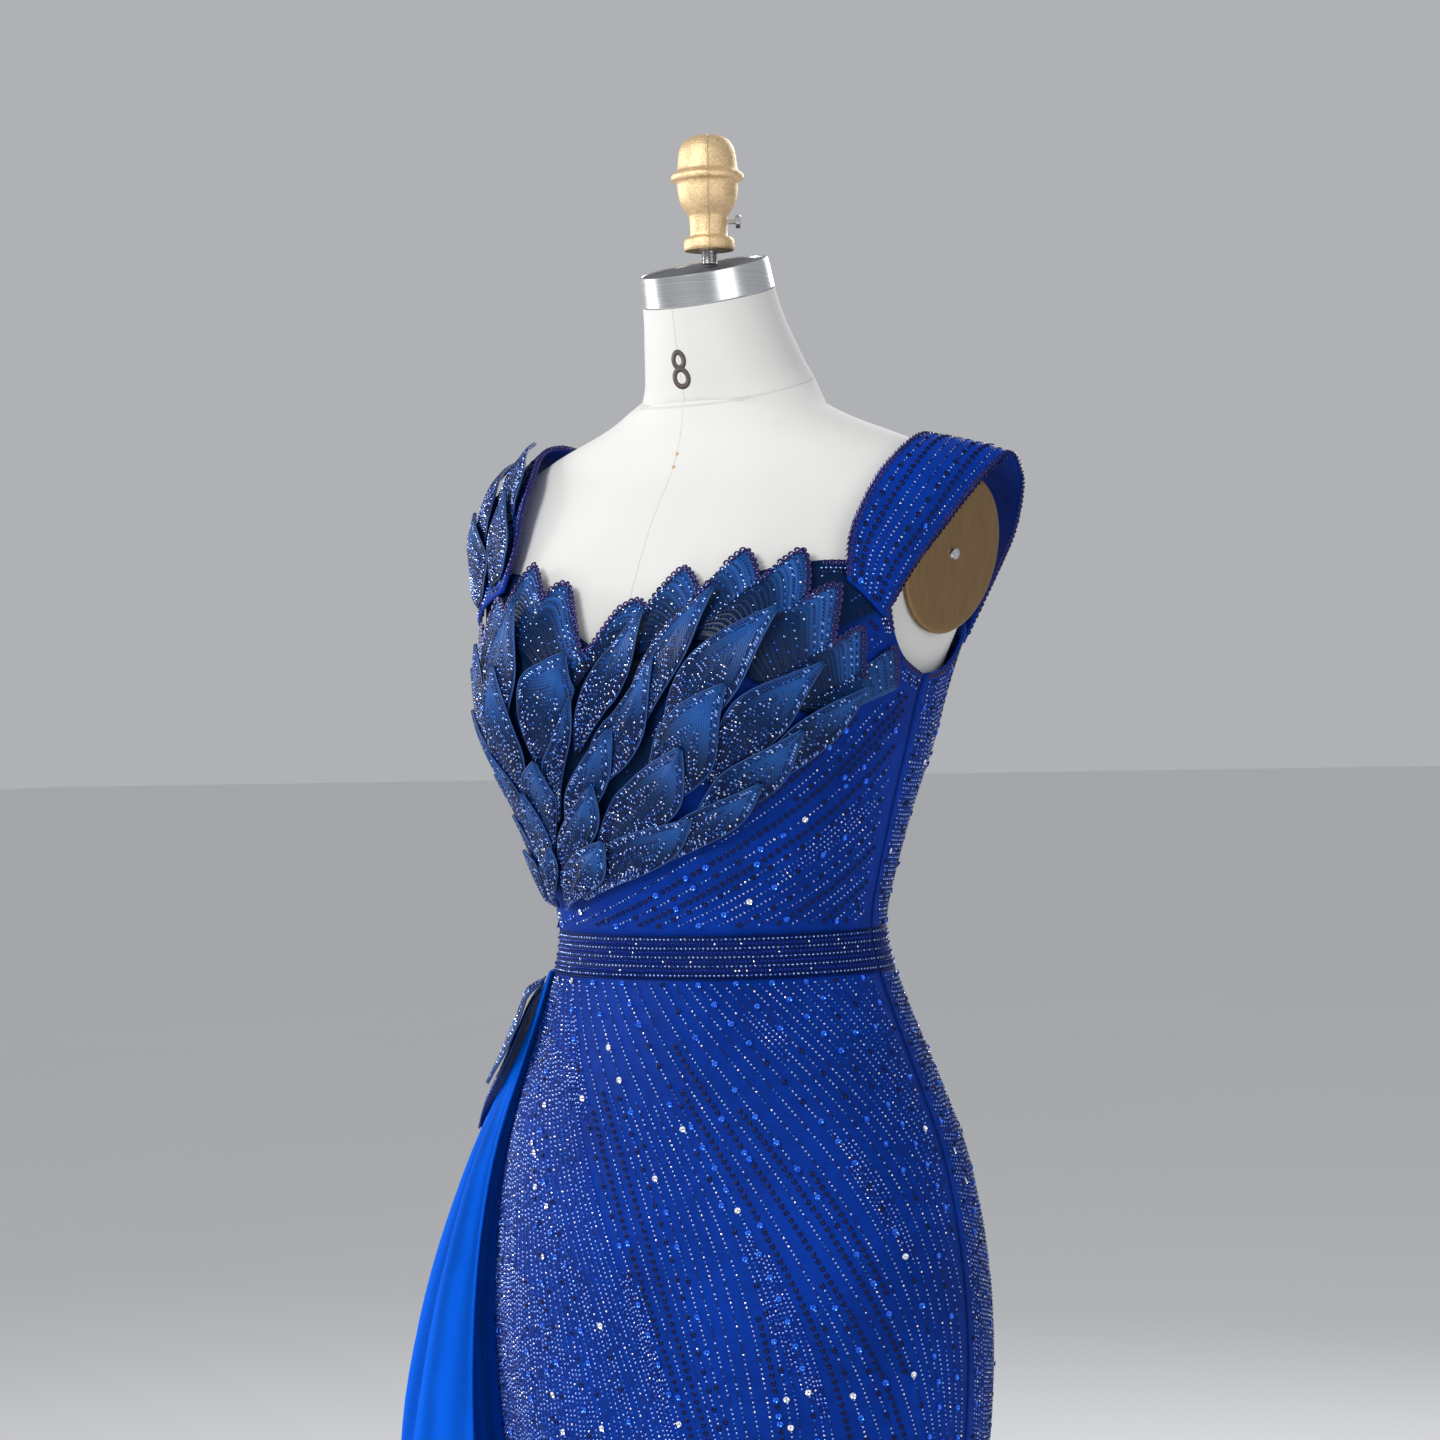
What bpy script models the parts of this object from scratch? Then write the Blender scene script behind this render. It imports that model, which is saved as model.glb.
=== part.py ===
"""A floor-length beaded mermaid gown on a limbless dress form with its stand.

Metres, +Z up. The stand's axis is the origin's Z axis and the floor is z = 0. The front faces -Y and
the wearer's left is +X. Every cloth wall is a grid laid on one body surface, or on a strap's own
surface, and thickened outwards, so panels, trims and the form under them share the same sizes.
"""

import math

import bmesh
import bpy
from mathutils import Matrix, Vector

# ---------------------------------------------------------------- driving sizes, in metres
SEAM_GAP = 0.0003
FORM_GAP = 0.0007
FORM_GAP_MORE = 0.0018
FORM_GAP_CUPS = 0.0036
CLOTH = 0.0022
BELT_CLOTH = 0.0026
NET = 0.0018
FEATHER_CLOTH = 0.0010

WAIST_Z = 1.040
BELT_LOW_Z = 1.026
BELT_HIGH_Z = 1.054
BELT_SEAM_OVER = 0.0011
BELT_SEAM_UNDER = 0.0015
HEM_Z = 0.016
FORM_LOW_Z = 0.700
BUST_Z = 1.213
BUST_X = 0.089
BUST_RISE = 0.033
BUST_SPREAD_X = 0.046
BUST_SPREAD_UP = 0.058
BUST_SPREAD_DOWN = 0.040

SIDE_SEAM_DEG = 90.0
BACK_SEAM_DEG = 180.0
ZIP_WIDTH = 0.0050
SKIRT_ROWS = 12
ZIP_FROM_ROW = 9
SKIRT_ROW_CROWDING = 1.35

# Horizontal sections of the body, hem to neck: height, half width, how far back the widest point lies,
# how far the front and the back lie from the stand's axis, and the squareness of the outline.
BODY_COLUMNS = ("z", "half_width", "mid_y", "front", "back", "square")
BODY = (
    (0.000, 0.392, 0.020, 0.372, 0.455, 2.00),
    (0.100, 0.334, 0.014, 0.316, 0.378, 2.00),
    (0.200, 0.274, 0.008, 0.258, 0.300, 2.00),
    (0.300, 0.222, 0.004, 0.208, 0.234, 2.05),
    (0.400, 0.184, 0.002, 0.164, 0.180, 2.10),
    (0.480, 0.166, 0.000, 0.140, 0.150, 2.15),
    (0.560, 0.163, 0.000, 0.128, 0.138, 2.20),
    (0.640, 0.171, 0.000, 0.123, 0.134, 2.20),
    (0.720, 0.182, 0.000, 0.121, 0.134, 2.20),
    (0.780, 0.185, 0.000, 0.121, 0.133, 2.20),
    (0.840, 0.181, 0.000, 0.120, 0.128, 2.20),
    (0.900, 0.170, 0.000, 0.117, 0.118, 2.20),
    (0.960, 0.148, 0.000, 0.112, 0.101, 2.20),
    (1.000, 0.132, 0.000, 0.107, 0.087, 2.20),
    (1.040, 0.119, 0.000, 0.101, 0.077, 2.20),
    (1.065, 0.118, 0.000, 0.103, 0.077, 2.20),
    (1.100, 0.126, 0.000, 0.110, 0.085, 2.25),
    (1.140, 0.137, 0.000, 0.112, 0.097, 2.30),
    (1.180, 0.149, 0.000, 0.115, 0.111, 2.40),
    (1.220, 0.159, 0.004, 0.116, 0.122, 2.40),
    (1.260, 0.174, 0.012, 0.113, 0.128, 2.30),
    (1.300, 0.194, 0.022, 0.099, 0.127, 2.15),
    (1.340, 0.202, 0.026, 0.079, 0.120, 2.10),
    (1.360, 0.196, 0.024, 0.065, 0.114, 2.05),
    (1.374, 0.182, 0.021, 0.055, 0.108, 2.00),
    (1.386, 0.161, 0.019, 0.049, 0.101, 1.95),
    (1.396, 0.139, 0.018, 0.045, 0.093, 1.95),
    (1.411, 0.100, 0.018, 0.041, 0.083, 1.90),
    (1.422, 0.078, 0.018, 0.040, 0.073, 1.95),
    (1.430, 0.067, 0.018, 0.040, 0.068, 2.00),
)

# The flat of the armhole: a point on it, and how far its normal turns forward and down.
ARMHOLE_POINT = Vector((0.1840, 0.012, 1.309))
ARMHOLE_FORWARD_DEG = 13.0
ARMHOLE_DOWN_DEG = 9.0
ARM_PLATE_HALF_HEIGHT = 0.0560
ARM_PLATE_HALF_WIDTH = 0.0440
ARM_PLATE_LEAN_DEG = 16.0
ARM_PLATE_THICK = 0.0035

# The neck's rings: centre height and depth, forward tilt, half width and half depth.
NECK_COLUMNS = ("y", "z", "tilt_deg", "half_width", "half_depth")
NECK = (
    (0.0190, 1.4340, 15.0, 0.0640, 0.0555),
    (0.0160, 1.4440, 15.0, 0.0590, 0.0545),
    (0.0110, 1.4570, 15.0, 0.0550, 0.0530),
    (0.0055, 1.4710, 15.0, 0.0515, 0.0505),
    (0.0010, 1.4860, 14.5, 0.0485, 0.0482),
    (-0.0022, 1.4975, 14.5, 0.0470, 0.0470),
)
BAND_HEIGHT = 0.0215
BAND_LOW_RADIUS = 0.0472
BAND_HIGH_RADIUS = 0.0456
BAND_WALL = 0.0016
PLATE_THICK = 0.0030
PLATE_SUNK = 0.0012

ROD_RADIUS = 0.0056
FINIAL_LOW_Z = 1.5305
# The finial's profile, top to bottom: radius and height over its foot.
FINIAL_COLUMNS = ("radius", "height")
FINIAL = (
    (0.0000, 0.0815),
    (0.0080, 0.0810),
    (0.0140, 0.0790),
    (0.0182, 0.0745),
    (0.0203, 0.0680),
    (0.0210, 0.0590),
    (0.0218, 0.0560),
    (0.0255, 0.0535),
    (0.0258, 0.0512),
    (0.0252, 0.0492),
    (0.0215, 0.0480),
    (0.0212, 0.0400),
    (0.0192, 0.0320),
    (0.0145, 0.0255),
    (0.0134, 0.0230),
    (0.0130, 0.0105),
    (0.0138, 0.0095),
    (0.0177, 0.0085),
    (0.0180, 0.0015),
    (0.0172, 0.0000),
    (0.0000, 0.0000),
)
SCREW_Z = FINIAL_LOW_Z + 0.0200
SCREW_SEAT = 0.0139
SCREW_SHAFT_RADIUS = 0.0018
SCREW_SHAFT_LENGTH = 0.0050
SCREW_HEAD_RADIUS = 0.0048
SCREW_HEAD_THICK = 0.0040
SCREW_TURN_DEG = 33.0

POLE_RADIUS = 0.0140
BASE_RADIUS = 0.2000
BASE_RIM = 0.0100
BASE_DOME = 0.0240
COLLAR_RADIUS = 0.0260
COLLAR_HEIGHT = 0.0460

# The bodice's upper edge, from the wearer's right side seam round the front to the left one.
FRONT_EDGE_COLUMNS = ("angle", "z")
FRONT_EDGE = (
    (-90.0, 1.228),
    (-78.0, 1.243),
    (-66.0, 1.274),
    (-52.0, 1.300),
    (-38.0, 1.306),
    (-24.0, 1.298),
    (-12.0, 1.270),
    (-3.0, 1.250),
    (6.0, 1.262),
    (16.0, 1.283),
    (30.0, 1.298),
    (44.0, 1.304),
    (56.0, 1.298),
    (66.0, 1.276),
    (78.0, 1.243),
    (90.0, 1.228),
)
# The same at the back, from a side seam to the centre back.
BACK_EDGE = (
    (90.0, 1.228),
    (100.0, 1.232),
    (110.0, 1.244),
    (120.0, 1.262),
    (132.0, 1.272),
    (144.0, 1.264),
    (162.0, 1.250),
    (180.0, 1.246),
)

# The straps, from the front end over the shoulder to the back end: the edge by the neck and the edge
# by the arm, given for the wearer's left. The right strap is wider towards the neck. Both ends lie
# on the bodice, at these angles and heights.
STRAP_COLUMNS = ("left_neck_edge", "right_neck_edge", "arm_edge", "crown")
STRAP = (
    ((0.1513, -0.0675, 1.3180), (0.1120, -0.0850, 1.3230), (0.1752, -0.0375, 1.2930), 0.0010),
    ((0.1533, -0.0560, 1.3390), (0.1150, -0.0730, 1.3480), (0.1915, -0.0120, 1.3260), 0.0040),
    ((0.1565, -0.0330, 1.3650), (0.1220, -0.0500, 1.3740), (0.2051, 0.0200, 1.3605), 0.0040),
    ((0.1599, 0.0020, 1.3870), (0.1400, -0.0100, 1.3960), (0.2130, 0.0440, 1.3750), 0.0030),
    ((0.1608, 0.0300, 1.3900), (0.1460, 0.0320, 1.4000), (0.2105, 0.0610, 1.3660), 0.0030),
    ((0.1590, 0.0640, 1.3790), (0.1500, 0.0660, 1.3860), (0.2029, 0.0760, 1.3520), 0.0040),
    ((0.1540, 0.0930, 1.3500), (0.1490, 0.0940, 1.3520), (0.1888, 0.0870, 1.3250), 0.0060),
    ((0.1450, 0.1140, 1.3080), (0.1430, 0.1150, 1.3080), (0.1700, 0.0930, 1.2980), 0.0040),
)
STRAP_END_COLUMNS = ("neck_angle", "neck_z", "arm_angle", "arm_z")
STRAP_FRONT_END = {"left": (50.0, 1.290, 66.0, 1.266), "right": (33.0, 1.290, 61.0, 1.272)}
STRAP_BACK_END = {"left": (139.0, 1.262, 121.0, 1.251), "right": (139.0, 1.262, 122.0, 1.251)}
STRAP_END_LIFT = {"left": 0.0030, "right": 0.0056}
STRAP_CLEAR = 0.0064
RIGHT_ARM_EDGE_IN = 0.010

# The side overskirt hangs from the waist on the wearer's right: how far its net stands out from the
# skirt at each height, and how deep its folds are there.
OVERSKIRT_FOLDS = 9
OVERSKIRT_COLUMNS = ("z", "first_angle", "last_angle", "stand_off", "fold_depth")
OVERSKIRT = (
    (0.000, 58.0, 168.0, 0.058, 0.046),
    (0.100, 58.0, 167.0, 0.058, 0.044),
    (0.200, 58.0, 165.0, 0.068, 0.041),
    (0.300, 58.0, 162.0, 0.084, 0.037),
    (0.400, 58.0, 158.0, 0.096, 0.033),
    (0.500, 58.0, 153.0, 0.094, 0.029),
    (0.600, 58.0, 146.0, 0.079, 0.024),
    (0.700, 57.0, 138.0, 0.057, 0.019),
    (0.800, 56.0, 129.0, 0.034, 0.014),
    (0.890, 55.0, 119.0, 0.016, 0.009),
    (0.960, 54.0, 111.0, 0.0065, 0.004),
    (1.024, 53.0, 104.0, 0.0026, 0.0015),
)

# The feather pieces fan out from one point of the waist. A tier is a row of them: where their tips
# lie and how long they are, as shares of the way from that point to the feathered edge, and how far
# they lie over the other tiers.
FAN_ANGLE = -52.0
FAN_Z = 1.062
FAN_FIRST_ANGLE = -80.0
FAN_LAST_ANGLE = 80.0
FAN_SPREAD = 0.55
FAN_EDGE_COLUMNS = ("angle", "z")
FAN_EDGE = (
    (-90.0, 1.240),
    (-80.0, 1.250),
    (-68.0, 1.256),
    (-54.0, 1.268),
    (-40.0, 1.280),
    (-28.0, 1.306),
    (-17.0, 1.306),
    (-9.0, 1.280),
    (-3.0, 1.266),
    (5.0, 1.296),
    (14.0, 1.302),
    (26.0, 1.312),
    (38.0, 1.310),
    (44.0, 1.300),
    (52.0, 1.280),
    (64.0, 1.256),
    (76.0, 1.246),
    (90.0, 1.236),
)
EDGE_TIPS = 13
EDGE_REACH = 0.76
EDGE_DIP = 0.024
TIER_COLUMNS = ("count", "first_share", "last_share", "reach", "length", "over")
TIERS = (
    (10, 0.04, 0.99, 0.880, 0.390, 0.0),
    (7, 0.05, 0.96, 0.715, 0.390, 0.0),
    (6, 0.10, 0.98, 0.550, 0.370, 0.0),
    (4, 0.12, 0.92, 0.395, 0.310, 0.0),
    (3, 0.20, 0.80, 0.255, 0.205, 0.0016),
)
FEATHER_BASE_LIFT = CLOTH + 0.0021
FEATHER_TIP_OUT = 0.0064
FEATHER_SEAT = 0.0006
FEATHER_ROOT_SHARE = 0.20
FEATHER_FILL = 0.93
FEATHER_WIDEST = 0.044
FEATHER_TIP_SHARE = 0.05

# Feathers laid along the right strap: where the root and the tip lie, along and across it.
STRAP_FEATHER_LIFT = CLOTH + 0.0022
STRAP_FEATHER_COLUMNS = ("root_along", "root_across", "tip_along", "tip_across", "width")
STRAP_FEATHERS = (
    (0.215, 0.25, 0.460, 0.20, 0.040),
    (0.195, 0.68, 0.430, 0.66, 0.040),
    (0.050, 0.25, 0.290, 0.25, 0.038),
    (0.045, 0.68, 0.270, 0.70, 0.038),
)

# Feathers that hang from the belt over the head of the overskirt.
HIP_STEP = 0.0024
HIP_CLEAR = 0.0045
HIP_SEAT = 0.0010
HIP_FEATHER_COLUMNS = ("root_angle", "root_z", "tip_angle", "tip_z", "width", "step")
HIP_FEATHERS = (
    (-60.0, 1.016, -75.0, 0.902, 0.040, 0),
    (-72.0, 1.018, -98.0, 0.910, 0.042, 1),
    (-56.0, 1.020, -62.0, 0.938, 0.036, 2),
)


# ---------------------------------------------------------------- tables and surfaces
def row_of(columns, row):
    return dict(zip(columns, row))


def smooth_row(columns, rows, at):
    """The row at a value of the first column, on a smooth curve through the table's rows."""
    keys = [row[0] for row in rows]
    at = min(max(at, keys[0]), keys[-1])
    i = max(k for k in range(len(rows) - 1) if keys[k] <= at)
    span = keys[i + 1] - keys[i]
    t = (at - keys[i]) / span
    found = {columns[0]: at}
    for c in range(1, len(columns)):
        slopes = []
        for k in (i, i + 1):
            low, high = max(k - 1, 0), min(k + 1, len(rows) - 1)
            slopes.append((rows[high][c] - rows[low][c]) / (keys[high] - keys[low]) * span)
        a, b = rows[i][c], rows[i + 1][c]
        found[columns[c]] = (
            a * (1 + 2 * t) * (1 - t) ** 2
            + slopes[0] * t * (1 - t) ** 2
            + b * t * t * (3 - 2 * t)
            + slopes[1] * t * t * (t - 1)
        )
    return found


def smoothstep(low, high, value):
    t = min(max((value - low) / (high - low), 0.0), 1.0)
    return t * t * (3 - 2 * t)


def armhole_normal(side):
    forward, down = math.radians(ARMHOLE_FORWARD_DEG), math.radians(ARMHOLE_DOWN_DEG)
    return Vector(
        (
            side * math.cos(forward) * math.cos(down),
            -math.sin(forward) * math.cos(down),
            -math.sin(down),
        )
    )


def armhole_point(side):
    return Vector((side * ARMHOLE_POINT.x, ARMHOLE_POINT.y, ARMHOLE_POINT.z))


def bust_rise(x, z):
    """How far the two cups stand forward of the plain section."""
    spread_z = BUST_SPREAD_UP if z > BUST_Z else BUST_SPREAD_DOWN
    height = math.exp(-(((z - BUST_Z) / spread_z) ** 2) / 2)
    across = sum(math.exp(-(((x - s * BUST_X) / BUST_SPREAD_X) ** 2) / 2) for s in (-1, 1))
    return BUST_RISE * height * across


def body_section(angle, z):
    """A point of the body surface. The angle is 0 at the front and 90 at the wearer's left."""
    row = smooth_row(BODY_COLUMNS, BODY, z)
    sine, cosine = math.sin(math.radians(angle)), math.cos(math.radians(angle))
    power = 2.0 / row["square"]
    depth = row["front"] + row["mid_y"] if cosine > 0 else row["back"] - row["mid_y"]
    x = row["half_width"] * math.copysign(abs(sine) ** power, sine)
    y = row["mid_y"] - depth * math.copysign(abs(cosine) ** power, cosine)
    y -= bust_rise(x, z) * smoothstep(0.0, 0.5, cosine)
    point = Vector((x, y, z))
    side = 1 if x > 0 else -1
    normal = armhole_normal(side)
    beyond = (point - armhole_point(side)).dot(normal)
    if beyond > 0 and z > BUST_Z:
        point.x -= beyond / normal.x
    return point


def body_point(angle, z, lift=0.0):
    """A point of the body surface, moved out along its normal."""
    step_angle, step_z = 0.6, 0.0015
    point = body_section(angle, z)
    if lift == 0.0:
        return point
    along = body_section(angle + step_angle, z) - body_section(angle - step_angle, z)
    up = body_section(angle, z + step_z) - body_section(angle, z - step_z)
    return point + along.cross(up).normalized() * lift


def clear_of_body(point, clearance):
    """A point over the left shoulder, moved out until it clears the body there.

    The way out is level, away from the body's section or through the flat of the armhole, whichever
    is nearer.
    """
    row = smooth_row(BODY_COLUMNS, BODY, point.z)
    y = point.y - row["mid_y"]
    depth = row["front"] + row["mid_y"] if y < 0 else row["back"] - row["mid_y"]
    power = row["square"]
    share = ((abs(point.x) / row["half_width"]) ** power + (abs(y) / depth) ** power) ** (1 / power)
    reach = math.hypot(point.x, y)
    soft = 0.003 / reach
    short = (share - 1 - clearance / reach) / soft
    if short > 20:
        return point
    grown = (1 + clearance / reach + soft * math.log1p(math.exp(short))) / share
    around = Vector((point.x * grown, row["mid_y"] + y * grown, point.z))
    normal = armhole_normal(1)
    short = max(0.0, clearance - (point - armhole_point(1)).dot(normal))
    through = point + Vector((short / normal.x, 0, 0))
    return around.lerp(through, smoothstep(-0.002, 0.004, (around - point).length - short))


def strap_end(values, lift):
    """A strap's end, laid on the bodice: a function of the share across it."""
    row = row_of(STRAP_END_COLUMNS, values)

    def at(across):
        angle = row["neck_angle"] + (row["arm_angle"] - row["neck_angle"]) * across
        z = row["neck_z"] + (row["arm_z"] - row["neck_z"]) * across
        return body_point(angle, z, lift)

    return at


def strap_row(values, label):
    """One row of a strap between its ends: a function of the share across it."""
    row = row_of(STRAP_COLUMNS, values)
    neck, arm = Vector(row[label + "_neck_edge"]), Vector(row["arm_edge"])
    arm.x -= RIGHT_ARM_EDGE_IN if label == "right" else 0.0
    out = ((neck + arm) / 2 - STRAP_CENTRE).normalized()

    def at(across):
        inside = min(max(across, 0.0), 1.0)
        point = neck.lerp(arm, across) + out * row["crown"] * math.sin(math.pi * inside)
        return clear_of_body(point, STRAP_CLEAR)

    return at


def strap_rows(side):
    label = "left" if side > 0 else "right"
    first = strap_end(STRAP_FRONT_END[label], STRAP_END_LIFT[label])
    last = strap_end(STRAP_BACK_END[label], STRAP_END_LIFT[label])
    return [first] + [strap_row(values, label) for values in STRAP] + [last]


def strap_point(side, along, across, lift=0.0):
    """A point of a strap: along runs 0 to 1 from its front end, across 0 to 1 from the neck edge."""
    rows = STRAP_ROWS[side]
    last = len(rows) - 1

    def plain(a, c):
        at = min(max(a, 0.0), 1.0) * last
        i = min(int(at), last - 1)
        t = at - i
        p0, p1, p2, p3 = (rows[min(max(k, 0), last)](c) for k in (i - 1, i, i + 1, i + 2))
        bend = p0 * 2 - p1 * 5 + p2 * 4 - p3
        return (p1 * 2 + (p2 - p0) * t + bend * t * t + (p1 * 3 - p0 - p2 * 3 + p3) * t * t * t) / 2

    point = plain(along, across)
    if lift:
        step = 0.01
        forward = plain(along + step, across) - plain(along - step, across)
        outward = plain(along, across + step) - plain(along, across - step)
        point += outward.cross(forward).normalized() * lift
    return Vector((side * point.x, point.y, point.z))


def fan_point(share, reach):
    """The angle and height at a share across the feather fan and a share of the way out."""
    angle = FAN_FIRST_ANGLE + (FAN_LAST_ANGLE - FAN_FIRST_ANGLE) * share
    tip_z = smooth_row(FAN_EDGE_COLUMNS, FAN_EDGE, angle)["z"]
    reach = max(reach, 0.0)
    return FAN_ANGLE + (angle - FAN_ANGLE) * reach**FAN_SPREAD, FAN_Z + (tip_z - FAN_Z) * reach


def feather_share(tier, share):
    """The share of the fan that a feather of a tier fills, where it is widest."""
    step = (tier["last_share"] - tier["first_share"]) / (tier["count"] - 1)
    reach = tier["reach"] * 0.8
    across = (body_point(*fan_point(share + 0.02, reach)) - body_point(*fan_point(share, reach))).length
    return min(step * FEATHER_FILL, FEATHER_WIDEST * 0.02 / across)


def leaf_outline(along):
    """A feather's width as a share of its widest: narrow at the root and pointed at the tip."""
    return max(FEATHER_TIP_SHARE, math.sin(math.pi * along**1.12) ** 0.72)


def rooted(seat, lift, up):
    """A feather's lift: sewn down on its seat at the root, then on its own plane."""
    return seat + (lift - seat) * smoothstep(0.0, FEATHER_ROOT_SHARE, up)


def step_aside(angle, z, ahead_angle, ahead_z, offset):
    """The angle and height at an offset in metres to the side of the way ahead."""
    step = 0.5
    here = body_section(angle, z)
    ahead = body_section(ahead_angle, ahead_z) - here
    around = body_section(angle + step, z) - body_section(angle - step, z)
    up = body_section(angle, z + 0.001) - body_section(angle, z - 0.001)
    aside = ahead.cross(around.cross(up)).normalized()
    return angle + offset * aside.dot(around.normalized()) / around.length * 2 * step, z + offset * aside.z


def overskirt_lift(z, share):
    """How far the overskirt's inner face lies off the skirt, with its folds."""
    row = smooth_row(OVERSKIRT_COLUMNS, OVERSKIRT, z)
    wave = 0.5 - 0.5 * math.cos(2 * math.pi * OVERSKIRT_FOLDS * share)
    edge = smoothstep(0.0, 0.10, share) * smoothstep(0.0, 0.12, 1 - share)
    return 0.0050 + (row["stand_off"] - 0.0050) * (0.25 + 0.75 * edge) + row["fold_depth"] * (wave - 0.5) * (
        0.35 + 0.65 * edge
    ) + row["fold_depth"] * 0.5


# ---------------------------------------------------------------- making objects
def clear_scene():
    for thing in list(bpy.data.objects):
        bpy.data.objects.remove(thing, do_unlink=True)


def new_collection(name):
    made = bpy.data.collections.new(name)
    bpy.context.scene.collection.children.link(made)
    return made


def new_material(name, colour, roughness, metallic=0.0):
    made = bpy.data.materials.new(name)
    made.use_nodes = True
    shader = made.node_tree.nodes["Principled BSDF"]
    shader.inputs["Base Color"].default_value = (*colour, 1.0)
    shader.inputs["Roughness"].default_value = roughness
    shader.inputs["Metallic"].default_value = metallic
    made.diffuse_color = (*colour, 1.0)
    return made


def add_object(name, shape, material):
    """Makes the bmesh an object of the gown's collection."""
    mesh = bpy.data.meshes.new(name)
    shape.to_mesh(mesh)
    shape.free()
    mesh.materials.append(material)
    thing = bpy.data.objects.new(name, mesh)
    GOWN.objects.link(thing)
    return thing


def smooth(thing, degrees=40.0):
    thing.data.shade_smooth()
    thing.data.set_sharp_from_angle(angle=math.radians(degrees))


def cloth(name, place, columns, rows, thickness, material, even=True):
    """A wall of cloth: a grid laid by place(across, up), both 0 to 1, and thickened outwards."""
    shape = bmesh.new()
    bmesh.ops.create_grid(shape, x_segments=columns, y_segments=rows, size=0.5)
    for vert in shape.verts:
        vert.co = place(vert.co.x + 0.5, vert.co.y + 0.5)
    thing = add_object(name, shape, material)
    wall = thing.modifiers.new("wall", "SOLIDIFY")
    wall.thickness = thickness
    wall.offset = 1.0
    wall.use_even_offset = even
    wall.use_quality_normals = True
    smooth(thing)
    return thing


def loft(name, rings, material):
    """A closed solid through rings of points, each with the same count, bottom to top."""
    shape = bmesh.new()
    made = [[shape.verts.new(point) for point in ring] for ring in rings]
    count = len(rings[0])
    for low, high in zip(made, made[1:]):
        for i in range(count):
            j = (i + 1) % count
            shape.faces.new((low[i], low[j], high[j], high[i]))
    shape.faces.new(list(reversed(made[0])))
    shape.faces.new(made[-1])
    thing = add_object(name, shape, material)
    smooth(thing)
    return thing


def turned(name, profile, place, steps, material):
    """A turned piece: a profile of (radius, height), run down its outer side, with a Screw."""
    mesh = bpy.data.meshes.new(name)
    points = [(radius, 0.0, height) for radius, height in profile]
    mesh.from_pydata(points, [(i, i + 1) for i in range(len(points) - 1)], [])
    mesh.materials.append(material)
    thing = bpy.data.objects.new(name, mesh)
    GOWN.objects.link(thing)
    thing.matrix_world = place
    screw = thing.modifiers.new("turn", "SCREW")
    screw.steps = steps
    screw.render_steps = steps
    screw.use_merge_vertices = True
    screw.merge_threshold = 0.00005
    screw.use_smooth_shade = True
    return thing


def facing(origin, normal):
    """The matrix that puts a piece's own +Z along the normal, at the origin."""
    return Matrix.Translation(origin) @ normal.to_track_quat("Z", "Y").to_matrix().to_4x4()


# ---------------------------------------------------------------- the dress form and its stand
def form_gap(z):
    """How far the form lies inside the cloth: least at the waist, where the gown grips it."""
    away = 1 - math.exp(-(((z - WAIST_Z) / 0.05) ** 2))
    cups = math.exp(-(((z - BUST_Z) / 0.05) ** 2))
    return FORM_GAP + FORM_GAP_MORE * away + FORM_GAP_CUPS * cups


def neck_ring(row, count):
    tilt = math.radians(row["tilt_deg"])
    across, back = Vector((1, 0, 0)), Vector((0, math.cos(tilt), math.sin(tilt)))
    centre = Vector((0, row["y"], row["z"]))
    ring = []
    for i in range(count):
        turn = 2 * math.pi * i / count
        ring.append(
            centre
            + across * row["half_width"] * math.sin(turn)
            - back * row["half_depth"] * math.cos(turn)
        )
    return ring


def form_torso(linen):
    count = 28
    heights = [FORM_LOW_Z, 0.76, 0.82, 0.88, 0.94, 0.98, 1.01, 1.03, 1.05, 1.07, 1.10, 1.13, 1.16]
    heights += [1.19, 1.213, 1.235, 1.26, 1.285, 1.31, 1.335, 1.355, 1.372, 1.386, 1.398, 1.411, 1.422]
    rings = []
    for z in heights:
        angles = [360.0 * i / count for i in range(count)]
        rings.append([body_point(a, z, -form_gap(z)) for a in angles])
    rings += [neck_ring(row_of(NECK_COLUMNS, row), count) for row in NECK]
    return loft("form_torso", rings, linen)


def neck_frame():
    """The matrix of the neck's top: origin at its centre, +Z along the tilted neck."""
    top = row_of(NECK_COLUMNS, NECK[-1])
    tilt = math.radians(top["tilt_deg"])
    normal = Vector((0, -math.sin(tilt), math.cos(tilt)))
    return facing(Vector((0, top["y"], top["z"])) + normal * SEAM_GAP, normal)


def form_neck(steel, dark):
    place = neck_frame()
    inner = BAND_HIGH_RADIUS - BAND_WALL
    foot = 0.0040
    band = [
        (0.0, foot),
        (inner - 0.001, foot),
        (inner, BAND_HEIGHT),
        (BAND_HIGH_RADIUS, BAND_HEIGHT),
        (BAND_LOW_RADIUS, 0.0),
        (0.0, 0.0),
    ]
    turned("form_neck_band", band, place, 40, steel)
    high = BAND_HEIGHT - PLATE_SUNK
    radius = inner - 0.0018
    plate = [(0.0, high), (radius, high), (radius, foot + SEAM_GAP), (0.0, foot + SEAM_GAP)]
    turned("form_neck_plate", plate, place, 40, dark)
    return place


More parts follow.
